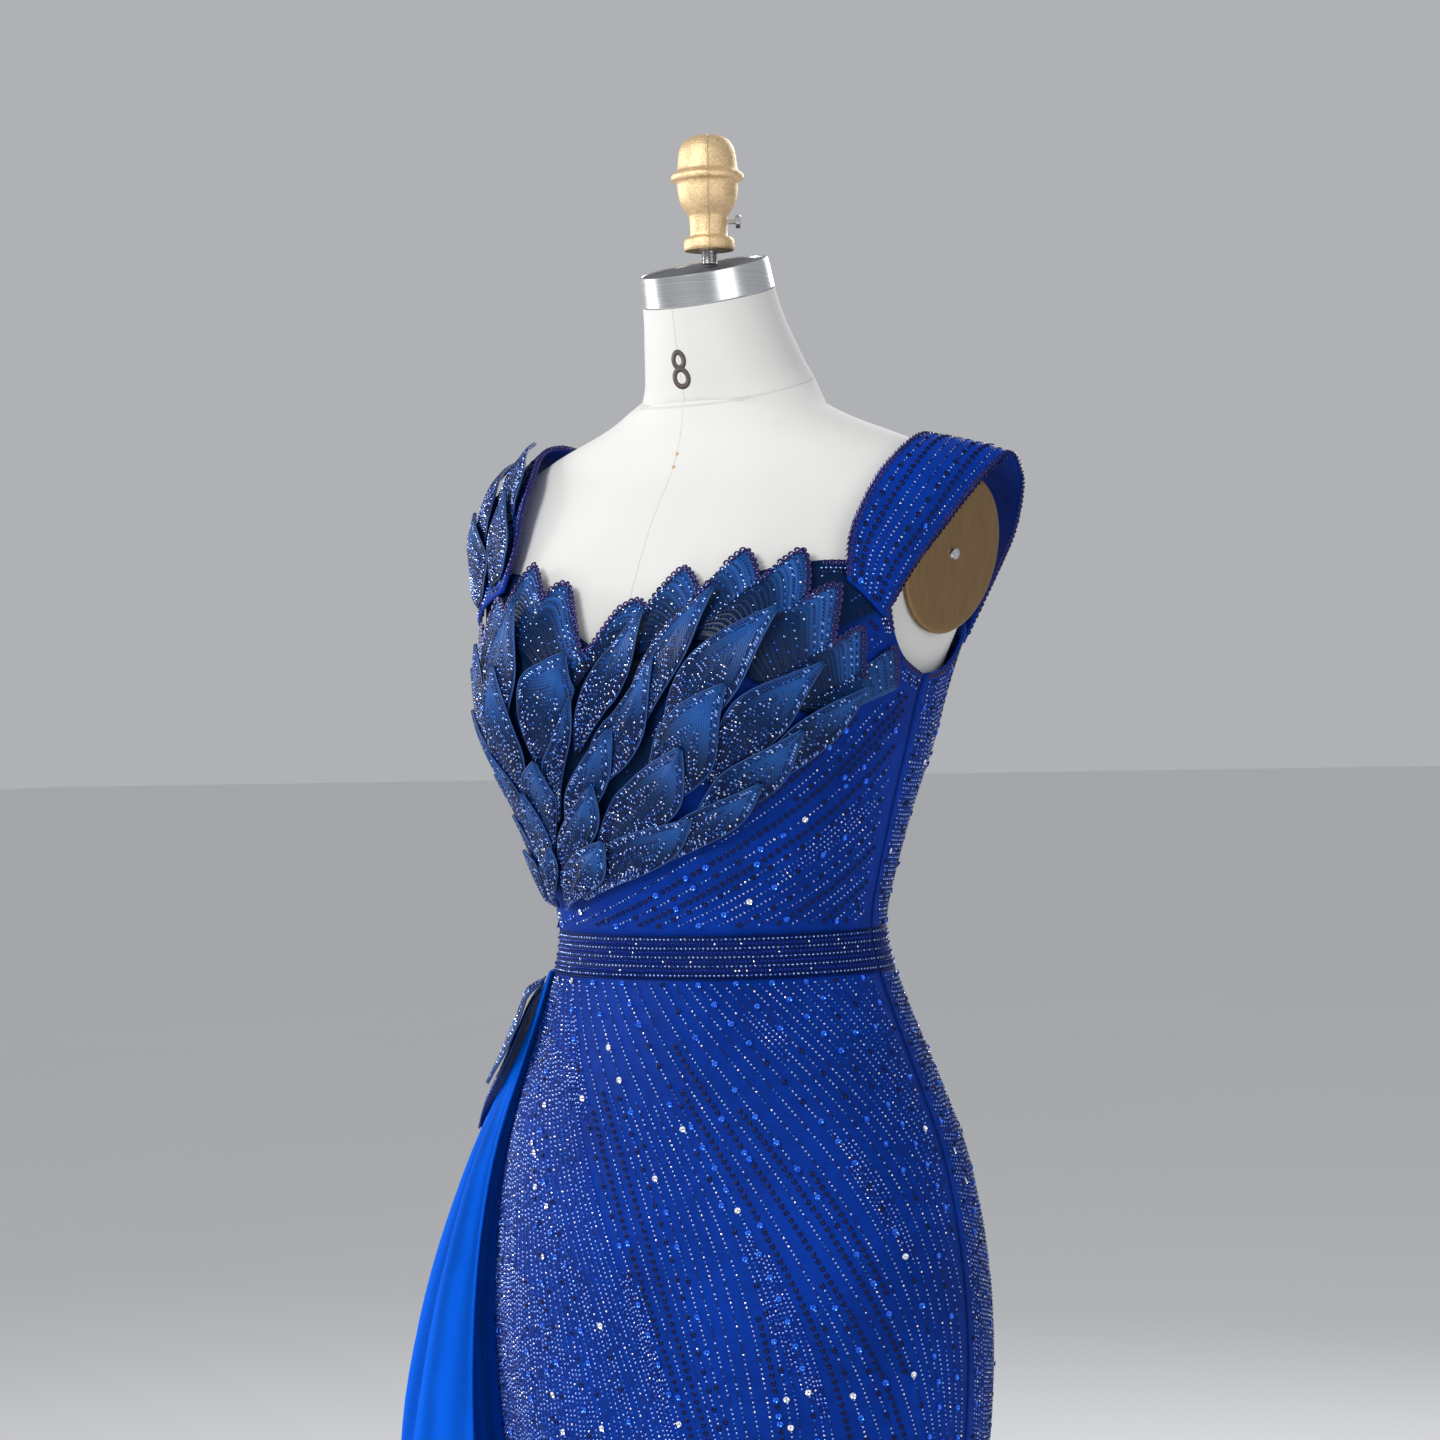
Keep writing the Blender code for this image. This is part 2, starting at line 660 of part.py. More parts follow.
def form_finial(place, steel, gold):
    """The rod's stub over the neck plate, the turned knob on it and its clamp screw."""
    normal = (place.to_3x3() @ Vector((0, 0, 1))).normalized()
    top = place @ Vector((0, 0, BAND_HEIGHT - PLATE_SUNK))
    reach = ROD_RADIUS * abs(normal.y) / normal.z
    low = top.z + top.y * normal.y / normal.z + reach + SEAM_GAP
    rod = [(0.0, FINIAL_LOW_Z - SEAM_GAP), (ROD_RADIUS, FINIAL_LOW_Z - SEAM_GAP)]
    rod += [(ROD_RADIUS, low), (0.0, low)]
    turned("form_rod", rod, Matrix.Identity(4), 16, steel)
    knob = [(radius, FINIAL_LOW_Z + height) for radius, height in FINIAL]
    turned("finial_knob", knob, Matrix.Identity(4), 20, gold)
    turn = math.radians(SCREW_TURN_DEG)
    out = Vector((math.cos(turn), math.sin(turn), 0))
    shaft_end = SCREW_SHAFT_LENGTH
    head_end = shaft_end + SCREW_HEAD_THICK
    screw = [(0.0, head_end), (SCREW_HEAD_RADIUS * 0.8, head_end)]
    screw += [(SCREW_HEAD_RADIUS, head_end - 0.0008), (SCREW_HEAD_RADIUS, shaft_end)]
    screw += [(SCREW_SHAFT_RADIUS, shaft_end), (SCREW_SHAFT_RADIUS, 0.0), (0.0, 0.0)]
    turned("finial_screw", screw, facing(Vector((0, 0, SCREW_Z)) + out * SCREW_SEAT, out), 12, steel)


def form_arm_plates(bronze):
    """The oval plates that close the armholes."""
    for side, label in ((1, "left"), (-1, "right")):
        normal = armhole_normal(side)
        up = (Vector((0, 0, 1)) - normal * normal.z).normalized()
        back = Vector((0, 1, 0)) - normal * normal.y
        back = (back - up * back.dot(up)).normalized()
        lean = math.radians(ARM_PLATE_LEAN_DEG)
        tall = up * math.cos(lean) + back * math.sin(lean)
        wide = back * math.cos(lean) - up * math.sin(lean)
        count = 28
        centre = armhole_point(side) + normal * (1.8 * SEAM_GAP - form_gap(ARMHOLE_POINT.z))
        rings = []
        for share, height in ((1.0, 0.0), (1.0, 0.6), (0.93, 0.92), (0.6, 1.0)):
            ring = []
            for i in range(count):
                turn = side * 2 * math.pi * i / count
                across = wide * ARM_PLATE_HALF_WIDTH * math.cos(turn)
                along = tall * ARM_PLATE_HALF_HEIGHT * math.sin(turn)
                out = normal * ARM_PLATE_THICK * height
                ring.append(centre + (across + along) * share + out)
            rings.append(ring)
        loft("arm_plate_" + label, rings, bronze)


def form_stand(iron):
    """The pole and its base, turned as one piece."""
    top = FORM_LOW_Z - SEAM_GAP
    stand = [
        (0.0, top),
        (POLE_RADIUS, top),
        (POLE_RADIUS, COLLAR_HEIGHT),
        (COLLAR_RADIUS - 0.002, COLLAR_HEIGHT),
        (COLLAR_RADIUS, COLLAR_HEIGHT - 0.002),
        (COLLAR_RADIUS + 0.002, BASE_DOME + 0.004),
        (COLLAR_RADIUS + 0.012, BASE_DOME),
        (BASE_RADIUS * 0.75, BASE_RIM + 0.006),
        (BASE_RADIUS - 0.003, BASE_RIM),
        (BASE_RADIUS, BASE_RIM - 0.003),
        (BASE_RADIUS, 0.0),
        (0.0, 0.0),
    ]
    turned("form_stand", stand, Matrix.Identity(4), 36, iron)


# ---------------------------------------------------------------- the gown's panels
def half_gap_angle(angle, z):
    """The angle that half a seam's gap takes at a place on the body."""
    step = 0.5
    width = (body_section(angle + step, z) - body_section(angle - step, z)).length
    return SEAM_GAP / 2 * (2 * step) / width


def between(first, last, share, z, gap_first=True, gap_last=True):
    """An angle between two seams, leaving half the seam's gap at each."""
    low = first + (half_gap_angle(first, z) if gap_first else 0.0)
    high = last - (half_gap_angle(last, z) if gap_last else 0.0)
    return low + (high - low) * share


def front_edge_z(angle):
    return smooth_row(FRONT_EDGE_COLUMNS, FRONT_EDGE, angle)["z"]


def back_edge_z(angle):
    return smooth_row(FRONT_EDGE_COLUMNS, BACK_EDGE, abs(angle))["z"]


def zip_half_angle(z):
    step = 0.5
    width = (body_section(180 + step, z) - body_section(180 - step, z)).length
    return (ZIP_WIDTH / 2 + SEAM_GAP) * (2 * step) / width


def bodice(satin):
    low = BELT_HIGH_Z + BELT_SEAM_OVER

    def front(across, up):
        guess = -SIDE_SEAM_DEG + 2 * SIDE_SEAM_DEG * across
        z = low + (front_edge_z(guess) - low) * up
        return body_point(between(-SIDE_SEAM_DEG, SIDE_SEAM_DEG, across, z), z)

    cloth("bodice_front", front, 20, 9, CLOTH, satin)
    for side, label in ((1, "left"), (-1, "right")):

        def back(across, up, side=side):
            guess = SIDE_SEAM_DEG + (BACK_SEAM_DEG - SIDE_SEAM_DEG) * across
            z = low + (back_edge_z(guess) - low) * up
            first = SIDE_SEAM_DEG + half_gap_angle(SIDE_SEAM_DEG, z)
            angle = first + (BACK_SEAM_DEG - zip_half_angle(z) - first) * across
            return body_point(side * angle, z)

        thing = cloth("bodice_back_" + label, back, 10, 7, CLOTH, satin)
        if side < 0:
            thing.data.flip_normals()


def waistband(beaded):
    def band(first, last, sign=1):
        def place(across, up):
            z = BELT_LOW_Z + (BELT_HIGH_Z - BELT_LOW_Z) * up
            end = last - zip_half_angle(z) if last == BACK_SEAM_DEG else last
            start = first + half_gap_angle(first, z)
            if last != BACK_SEAM_DEG:
                end -= half_gap_angle(last, z)
            return body_point(sign * (start + (end - start) * across), z)

        return place

    front = band(-SIDE_SEAM_DEG, SIDE_SEAM_DEG)
    cloth("waistband_front", front, 20, 1, BELT_CLOTH, beaded)
    for side, label in ((1, "left"), (-1, "right")):
        place = band(SIDE_SEAM_DEG, BACK_SEAM_DEG, side)
        thing = cloth("waistband_back_" + label, place, 10, 1, BELT_CLOTH, beaded)
        if side < 0:
            thing.data.flip_normals()


def skirt_height(up):
    """The height of a row of the skirt: rows lie closer together towards the waist."""
    return HEM_Z + (BELT_LOW_Z - BELT_SEAM_UNDER - HEM_Z) * (1 - (1 - up) ** SKIRT_ROW_CROWDING)


def skirt(satin):
    zip_row = ZIP_FROM_ROW / SKIRT_ROWS - 0.001

    def front(across, up):
        z = skirt_height(up)
        return body_point(between(-SIDE_SEAM_DEG, SIDE_SEAM_DEG, across, z), z)

    cloth("skirt_front", front, 16, SKIRT_ROWS, CLOTH, satin)
    for side, label in ((1, "left"), (-1, "right")):

        def back(across, up, side=side):
            z = skirt_height(up)
            first = SIDE_SEAM_DEG + half_gap_angle(SIDE_SEAM_DEG, z)
            gap = zip_half_angle(z) if up > zip_row else half_gap_angle(BACK_SEAM_DEG, z)
            last = BACK_SEAM_DEG - gap
            return body_point(side * (first + (last - first) * across), z)

        thing = cloth("skirt_back_" + label, back, 8, SKIRT_ROWS, CLOTH, satin)
        if side < 0:
            thing.data.flip_normals()


def back_zip(satin):
    """The strip over the concealed zip, from the hip to the top of the centre back."""
    low = skirt_height(ZIP_FROM_ROW / SKIRT_ROWS) + SEAM_GAP
    high = back_edge_z(BACK_SEAM_DEG)

    def place(across, up):
        z = low + (high - low) * up
        half = zip_half_angle(z) * (ZIP_WIDTH / 2) / (ZIP_WIDTH / 2 + SEAM_GAP)
        return body_point(BACK_SEAM_DEG + half * (2 * across - 1), z)

    cloth("centre_back_zip", place, 1, 14, CLOTH, satin)


def straps(beaded):
    for side, label in ((1, "left"), (-1, "right")):

        def place(across, up, side=side):
            return strap_point(side, up, across)

        thing = cloth("strap_" + label, place, 4, 22, CLOTH, beaded)
        if side < 0:
            thing.data.flip_normals()


def overskirt(net):
    """The net overskirt: gathered at the right of the waist, falling in soft folds to the hem."""

    def place(across, up):
        z = HEM_Z + (BELT_LOW_Z - 0.002 - HEM_Z) * up
        share = 1 - across
        row = smooth_row(OVERSKIRT_COLUMNS, OVERSKIRT, z)
        angle = row["first_angle"] + (row["last_angle"] - row["first_angle"]) * share
        return body_point(-angle, z, overskirt_lift(z, share))

    cloth("side_overskirt", place, OVERSKIRT_FOLDS * 4, 10, NET, net)


# ---------------------------------------------------------------- the feather pieces
def feather_edge(organza):
    """The flat row under the feathers: one band, its upper edge cut into feather tips."""

    def place(across, up):
        low = fan_point(across, EDGE_REACH)
        angle, high = fan_point(across, 1.0)
        from_tip = abs(2 * ((across * EDGE_TIPS) % 1.0) - 1)
        high -= EDGE_DIP * from_tip**1.4
        return body_point(low[0] + (angle - low[0]) * up, low[1] + (high - low[1]) * up, FEATHER_BASE_LIFT)

    cloth("feather_edge", place, EDGE_TIPS * 4, 2, FEATHER_CLOTH, organza, even=False)


def bodice_feathers(organza):
    number = 0
    for tier in [row_of(TIER_COLUMNS, row) for row in TIERS]:
        for i in range(tier["count"]):
            number += 1
            spread = i / (tier["count"] - 1)
            share = tier["first_share"] + (tier["last_share"] - tier["first_share"]) * spread
            root = tier["reach"] - tier["length"]
            width = feather_share(tier, share)
            seat = CLOTH + FEATHER_SEAT * (1 + share)

            def place(across, up, tier=tier, share=share, root=root, width=width, seat=seat):
                reach = root + (tier["reach"] - root) * up
                angle, z = fan_point(share + (across - 0.5) * width * leaf_outline(up), reach)
                lift = FEATHER_BASE_LIFT + tier["over"] + FEATHER_TIP_OUT * up
                return body_point(angle, z, rooted(seat, lift, up))

            cloth("feather_%02d" % number, place, 4, 5, FEATHER_CLOTH, organza, even=False)


def strap_feathers(organza):
    for number, values in enumerate(STRAP_FEATHERS, 1):
        row = row_of(STRAP_FEATHER_COLUMNS, values)

        def place(across, up, row=row):
            along = row["root_along"] + (row["tip_along"] - row["root_along"]) * up
            middle = row["root_across"] + (row["tip_across"] - row["root_across"]) * up
            wide = (strap_point(-1, along, 1.0) - strap_point(-1, along, 0.0)).length
            aside = (across - 0.5) * leaf_outline(0.12 + 0.88 * up) * row["width"] / wide
            lift = rooted(CLOTH + FEATHER_SEAT, STRAP_FEATHER_LIFT + FEATHER_TIP_OUT * up, up)
            return strap_point(-1, along, middle - aside, lift)

        cloth("strap_feather_%d" % number, place, 4, 5, FEATHER_CLOTH, organza, even=False)


def hip_feathers(organza):
    for number, values in enumerate(HIP_FEATHERS, 1):
        row = row_of(HIP_FEATHER_COLUMNS, values)

        def place(across, up, row=row):
            angle = row["root_angle"] + (row["tip_angle"] - row["root_angle"]) * up
            z = row["root_z"] + (row["tip_z"] - row["root_z"]) * up
            more = 0.01
            ahead_angle = angle + (row["tip_angle"] - row["root_angle"]) * more
            ahead_z = z + (row["tip_z"] - row["root_z"]) * more
            aside = (across - 0.5) * leaf_outline(up) * row["width"]
            angle, z = step_aside(angle, z, ahead_angle, ahead_z, aside)
            folds = smooth_row(OVERSKIRT_COLUMNS, OVERSKIRT, z)
            crest = folds["stand_off"] + folds["fold_depth"] + NET
            lift = rooted(crest + HIP_SEAT, crest + HIP_CLEAR + row["step"] * HIP_STEP, up)
            return body_point(angle, z, lift)

        cloth("hip_feather_%d" % number, place, 4, 5, FEATHER_CLOTH, organza, even=False)


def main():
    clear_scene()
    satin = new_material("royal_satin", (0.010, 0.060, 0.420), 0.45)
    beaded = new_material("beaded_band", (0.008, 0.030, 0.240), 0.30)
    organza = new_material("teal_organza", (0.020, 0.130, 0.520), 0.40)
    net = new_material("cobalt_net", (0.008, 0.090, 0.620), 0.60)
    linen = new_material("form_linen", (0.780, 0.760, 0.700), 0.80)
    steel = new_material("brushed_steel", (0.560, 0.570, 0.580), 0.30, 1.0)
    dark = new_material("dark_plate", (0.050, 0.055, 0.065), 0.45)
    gold = new_material("gold_paint", (0.560, 0.400, 0.200), 0.42, 0.6)
    bronze = new_material("bronze_satin", (0.170, 0.100, 0.045), 0.40, 0.5)
    iron = new_material("black_iron", (0.030, 0.030, 0.032), 0.50, 0.4)
    form_torso(linen)
    place = form_neck(steel, dark)
    form_finial(place, steel, gold)
    form_arm_plates(bronze)
    form_stand(iron)
    bodice(satin)
    waistband(beaded)
    skirt(satin)
    back_zip(satin)
    straps(beaded)
    feather_edge(organza)
    bodice_feathers(organza)
    strap_feathers(organza)
    overskirt(net)
    hip_feathers(organza)


STRAP_CENTRE = Vector((0.10, 0.015, 1.25))
STRAP_ROWS = {side: strap_rows(side) for side in (1, -1)}
GOWN = new_collection("mermaid_gown")
main()
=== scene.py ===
"""A floor-length beaded mermaid gown on its dress form, dressed for rendering.

The cloth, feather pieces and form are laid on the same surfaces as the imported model, finer; the beads,
sequins, stitched lines and finishes are added here. Metres, +Z up, front -Y, wearer's left +X.
"""

import math

import bpy
import numpy as np
from mathutils import Matrix, Vector, kdtree


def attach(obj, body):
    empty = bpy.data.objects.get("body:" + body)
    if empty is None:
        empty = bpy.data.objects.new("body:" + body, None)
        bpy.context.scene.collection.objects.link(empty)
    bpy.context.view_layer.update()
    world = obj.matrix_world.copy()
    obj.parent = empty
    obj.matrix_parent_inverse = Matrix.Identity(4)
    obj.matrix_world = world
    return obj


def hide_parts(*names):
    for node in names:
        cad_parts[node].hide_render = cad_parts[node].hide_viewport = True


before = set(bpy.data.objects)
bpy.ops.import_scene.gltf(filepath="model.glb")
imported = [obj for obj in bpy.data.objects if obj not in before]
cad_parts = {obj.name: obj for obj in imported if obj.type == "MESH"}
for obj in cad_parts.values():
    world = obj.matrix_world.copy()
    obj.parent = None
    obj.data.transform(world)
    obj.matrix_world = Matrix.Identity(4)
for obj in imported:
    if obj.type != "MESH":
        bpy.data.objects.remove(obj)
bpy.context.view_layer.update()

bl_info = {
    "name": "Beaded mermaid gown",
    "version": (1, 0, 0),
    "blender": (4, 5, 0),
    "location": "3D View > Sidebar > Gown",
    "description": "Lays the cloth, feather pieces, beading and finishes of a mermaid gown on its dress form",
    "category": "Object",
}

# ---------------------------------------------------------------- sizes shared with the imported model
SEAM_GAP = 0.0003
FORM_GAP, FORM_GAP_MORE, FORM_GAP_CUPS = 0.0007, 0.0018, 0.0036
CLOTH, BELT_CLOTH, NET, FEATHER_CLOTH = 0.0022, 0.0026, 0.0018, 0.0010
WAIST_Z, BELT_LOW_Z, BELT_HIGH_Z = 1.040, 1.026, 1.054
BELT_SEAM_OVER, BELT_SEAM_UNDER = 0.0011, 0.0015
HEM_Z, FORM_LOW_Z = 0.016, 0.700
BUST_Z, BUST_X, BUST_RISE = 1.213, 0.089, 0.033
BUST_SPREAD_X, BUST_SPREAD_UP, BUST_SPREAD_DOWN = 0.046, 0.058, 0.040
SIDE_SEAM_DEG, BACK_SEAM_DEG = 90.0, 180.0
ZIP_WIDTH, ZIP_LOW_SHARE = 0.0050, 0.75
SKIRT_ROW_CROWDING = 1.35
ARMHOLE_POINT = np.array((0.1840, 0.012, 1.309))
ARMHOLE_FORWARD_DEG, ARMHOLE_DOWN_DEG = 13.0, 9.0
ARM_PLATE_HALF_HEIGHT, ARM_PLATE_HALF_WIDTH = 0.0560, 0.0440
ARM_PLATE_LEAN_DEG, ARM_PLATE_THICK = 16.0, 0.0035
BAND_HEIGHT, BAND_LOW_RADIUS, BAND_HIGH_RADIUS = 0.0215, 0.0472, 0.0456
BAND_WALL, PLATE_SUNK = 0.0016, 0.0012
ROD_RADIUS, FINIAL_LOW_Z = 0.0056, 1.5305
SCREW_Z, SCREW_SEAT, SCREW_SHAFT_RADIUS, SCREW_SHAFT_LENGTH = 1.5505, 0.0139, 0.0018, 0.0050
SCREW_HEAD_RADIUS, SCREW_HEAD_THICK, SCREW_TURN_DEG = 0.0048, 0.0040, 33.0
STRAP_CLEAR, RIGHT_ARM_EDGE_IN, STRAP_CENTRE = 0.0064, 0.010, (0.10, 0.015, 1.25)
OVERSKIRT_FOLDS = 9
FAN_ANGLE, FAN_Z, FAN_FIRST_ANGLE, FAN_LAST_ANGLE, FAN_SPREAD = -52.0, 1.062, -80.0, 80.0, 0.55
EDGE_TIPS, EDGE_REACH, EDGE_DIP = 13, 0.76, 0.024
FEATHER_BASE_LIFT, FEATHER_TIP_OUT = CLOTH + 0.0021, 0.0064
FEATHER_SEAT, FEATHER_ROOT_SHARE, FEATHER_FILL = 0.0006, 0.20, 0.93
FEATHER_WIDEST, FEATHER_TIP_SHARE, FEATHER_POINT = 0.044, 0.05, 0.45
STRAP_FEATHER_LIFT = CLOTH + 0.0022
HIP_STEP, HIP_CLEAR, HIP_SEAT = 0.0024, 0.0045, 0.0010

# ---------------------------------------------------------------- sizes of what is added here
FAN_FOOT_RISE, FAN_FOOT_Z = 0.72, 1.138  # the slope of the fan's lower edge, and its height at the middle
ZIP_HIGH_Z, ZIP_SEAM_HIGH_Z, SIDE_SEAM_HIGH_Z = 1.246, 1.244, 1.227
SEAM_CORD_HALF_WIDE, SEAM_CORD_HALF_HIGH, SEAM_CORD_SUNK = 0.0009, 0.0008, 0.0003
PIPING_HALF_WIDE, PIPING_HALF_HIGH = 0.00065, 0.00055
CUP_RISE, SHAFT_RISE = 0.0011, 0.0005  # how far a leaf's middle and its shaft stand up
# A cloth's flat width is taken as no less than 10 mm, and its area as no less than 0.3 of its rectangle: the
# zip's strip counts with its turned edges, and a narrow leaf at that share. The frame takes no cut narrower
# than 10 mm or under 0.3 of its rectangle.
NARROWEST_CUT, LEAST_CUT_SHARE = 0.0102, 0.301
BEAD_TILT, BEAD_ROOM = 0.12, 190000  # a bead's random lean, and the triangles that a mesh of beads may have
LINE_STEP, SEAM_STRIP, COVERED_REACH = 0.0022, 0.006, 0.0085
CLOSE_LINE, NEAR_LINE = 0.0034, 0.0055  # spacings at which a bead line gets plainer
SLOPING_FROM_DEG, SLOPING_SPAN_DEG = -52.0, 142.0
BELT_ROWS, BELT_ROW_INSET = 9, 0.0016
EDGE_PITCH_SHARE, STRAP_EDGE_PITCH_SHARE, RIM_PITCH_SHARE = 0.8, 0.78, 0.72  # of the pitch of ring sequins
FIELD_REACH, FIELD_WIDTH = 0.76, 0.74  # the beaded field within a feather, as shares of the leaf
FLOOR_HALF, CAMERA_AWAY, CAMERA_Z, LAMP_AIM_Z = 60.0, 2.5, 1.20, 1.05
CAMERA_TURN_DEG, CAMERA_ROLL_DEG, LENS_MM, SENSOR_MM = 34.0, -1.5, 88.75, 36.0
PHOTO_SIDE_PX, STAND_AXIS_PX = 1440, 721.6


class Table:
    """A smooth curve through a table's rows, read at many values of its first column at once."""

    def __init__(self, columns, *rows):
        values = np.array(rows, float)
        at = np.arange(len(rows))
        low, high = np.maximum(at - 1, 0), np.minimum(at + 1, len(rows) - 1)
        self.columns, self.keys, self.values = columns[1:], values[:, 0], values[:, 1:]
        self.slopes = (self.values[high] - self.values[low]) / (self.keys[high] - self.keys[low])[:, None]

    def at(self, key):
        key = np.clip(np.asarray(key, float), self.keys[0], self.keys[-1])
        i = np.clip(np.searchsorted(self.keys, key, "right") - 1, 0, len(self.keys) - 2)
        span = (self.keys[i + 1] - self.keys[i])[..., None]
        t = (key - self.keys[i])[..., None] / span
        found = self.values[i] * (1 + 2 * t) * (1 - t) ** 2 + self.values[i + 1] * t * t * (3 - 2 * t)
        found += (self.slopes[i] * t * (1 - t) ** 2 + self.slopes[i + 1] * t * t * (t - 1)) * span
        return {name: found[..., c] for c, name in enumerate(self.columns)}


# Horizontal sections of the body: height, half width, how far back the widest point lies, how far the
# front and the back lie from the stand's axis, and the squareness of the outline.
BODY = Table(
    ("z", "half_width", "mid_y", "front", "back", "square"),
    (0.000, 0.392, 0.020, 0.372, 0.455, 2.00),
    (0.100, 0.334, 0.014, 0.316, 0.378, 2.00),
    (0.200, 0.274, 0.008, 0.258, 0.300, 2.00),
    (0.300, 0.222, 0.004, 0.208, 0.234, 2.05),
    (0.400, 0.184, 0.002, 0.164, 0.180, 2.10),
    (0.480, 0.166, 0.000, 0.140, 0.150, 2.15),
    (0.560, 0.163, 0.000, 0.128, 0.138, 2.20),
    (0.640, 0.171, 0.000, 0.123, 0.134, 2.20),
    (0.720, 0.182, 0.000, 0.121, 0.134, 2.20),
    (0.780, 0.185, 0.000, 0.121, 0.133, 2.20),
    (0.840, 0.181, 0.000, 0.120, 0.128, 2.20),
    (0.900, 0.170, 0.000, 0.117, 0.118, 2.20),
    (0.960, 0.148, 0.000, 0.112, 0.101, 2.20),
    (1.000, 0.132, 0.000, 0.107, 0.087, 2.20),
    (1.040, 0.119, 0.000, 0.101, 0.077, 2.20),
    (1.065, 0.118, 0.000, 0.103, 0.077, 2.20),
    (1.100, 0.126, 0.000, 0.110, 0.085, 2.25),
    (1.140, 0.137, 0.000, 0.112, 0.097, 2.30),
    (1.180, 0.149, 0.000, 0.115, 0.111, 2.40),
    (1.220, 0.159, 0.004, 0.116, 0.122, 2.40),
    (1.260, 0.174, 0.012, 0.113, 0.128, 2.30),
    (1.300, 0.194, 0.022, 0.099, 0.127, 2.15),
    (1.340, 0.202, 0.026, 0.079, 0.120, 2.10),
    (1.360, 0.196, 0.024, 0.065, 0.114, 2.05),
    (1.374, 0.182, 0.021, 0.055, 0.108, 2.00),
    (1.386, 0.161, 0.019, 0.049, 0.101, 1.95),
    (1.396, 0.139, 0.018, 0.045, 0.093, 1.95),
    (1.411, 0.100, 0.018, 0.041, 0.083, 1.90),
    (1.422, 0.078, 0.018, 0.040, 0.073, 1.95),
    (1.430, 0.067, 0.018, 0.040, 0.068, 2.00),
)
NECK = Table(
    ("ring", "y", "z", "tilt_deg", "half_width", "half_depth"),
    (0, 0.0190, 1.4340, 15.0, 0.0640, 0.0555),
    (1, 0.0160, 1.4440, 15.0, 0.0590, 0.0545),
    (2, 0.0110, 1.4570, 15.0, 0.0550, 0.0530),
    (3, 0.0055, 1.4710, 15.0, 0.0515, 0.0505),
    (4, 0.0010, 1.4860, 14.5, 0.0485, 0.0482),
    (5, -0.0022, 1.4975, 14.5, 0.0470, 0.0470),
)
# The finial's profile, top to bottom: step, radius and height over its foot.
FINIAL = (
    (0.0000, 0.0815),
    (0.0080, 0.0810),
    (0.0140, 0.0790),
    (0.0182, 0.0745),
    (0.0203, 0.0680),
    (0.0210, 0.0590),
    (0.0218, 0.0560),
    (0.0255, 0.0535),
    (0.0258, 0.0512),
    (0.0252, 0.0492),
    (0.0215, 0.0480),
    (0.0212, 0.0400),
    (0.0192, 0.0320),
    (0.0145, 0.0255),
    (0.0134, 0.0230),
    (0.0130, 0.0105),
    (0.0138, 0.0095),
    (0.0177, 0.0085),
    (0.0180, 0.0015),
    (0.0172, 0.0000),
    (0.0000, 0.0000),
)
FRONT_EDGE = Table(
    ("angle", "z"),
    (-90.0, 1.228),
    (-78.0, 1.243),
    (-66.0, 1.274),
    (-52.0, 1.300),
    (-38.0, 1.306),
    (-24.0, 1.298),
    (-12.0, 1.270),
    (-3.0, 1.250),
    (6.0, 1.262),
    (16.0, 1.283),
    (30.0, 1.298),
    (44.0, 1.304),
    (56.0, 1.298),
    (66.0, 1.276),
    (78.0, 1.243),
    (90.0, 1.228),
)
BACK_EDGE = Table(
    ("angle", "z"),
    (90.0, 1.228),
    (100.0, 1.232),
    (110.0, 1.244),
    (120.0, 1.262),
    (132.0, 1.272),
    (144.0, 1.264),
    (162.0, 1.250),
    (180.0, 1.246),
)
# The straps from front to back: the neck edge at the left and at the right, the arm edge, the crown.
STRAP = (
    ((0.1513, -0.0675, 1.3180), (0.1120, -0.0850, 1.3230), (0.1752, -0.0375, 1.2930), 0.0010),
    ((0.1533, -0.0560, 1.3390), (0.1150, -0.0730, 1.3480), (0.1915, -0.0120, 1.3260), 0.0040),
    ((0.1565, -0.0330, 1.3650), (0.1220, -0.0500, 1.3740), (0.2051, 0.0200, 1.3605), 0.0040),
    ((0.1599, 0.0020, 1.3870), (0.1400, -0.0100, 1.3960), (0.2130, 0.0440, 1.3750), 0.0030),
    ((0.1608, 0.0300, 1.3900), (0.1460, 0.0320, 1.4000), (0.2105, 0.0610, 1.3660), 0.0030),
    ((0.1590, 0.0640, 1.3790), (0.1500, 0.0660, 1.3860), (0.2029, 0.0760, 1.3520), 0.0040),
    ((0.1540, 0.0930, 1.3500), (0.1490, 0.0940, 1.3520), (0.1888, 0.0870, 1.3250), 0.0060),
    ((0.1450, 0.1140, 1.3080), (0.1430, 0.1150, 1.3080), (0.1700, 0.0930, 1.2980), 0.0040),
)
# Where a strap's ends lie on the bodice: angle and height at the neck edge, then at the arm edge.
STRAP_ENDS = {
    1: ((50.0, 1.290, 66.0, 1.266), (139.0, 1.262, 121.0, 1.251), 0.0030),
    -1: ((33.0, 1.290, 61.0, 1.272), (139.0, 1.262, 122.0, 1.251), 0.0056),
}
OVERSKIRT = Table(
    ("z", "first_angle", "last_angle", "stand_off", "fold_depth"),
    (0.000, 58.0, 168.0, 0.058, 0.046),
    (0.100, 58.0, 167.0, 0.058, 0.044),
    (0.200, 58.0, 165.0, 0.068, 0.041),
    (0.300, 58.0, 162.0, 0.084, 0.037),
    (0.400, 58.0, 158.0, 0.096, 0.033),
    (0.500, 58.0, 153.0, 0.094, 0.029),
    (0.600, 58.0, 146.0, 0.079, 0.024),
    (0.700, 57.0, 138.0, 0.057, 0.019),
    (0.800, 56.0, 129.0, 0.034, 0.014),
    (0.890, 55.0, 119.0, 0.016, 0.009),
    (0.960, 54.0, 111.0, 0.0065, 0.004),
    (1.024, 53.0, 104.0, 0.0026, 0.0015),
)
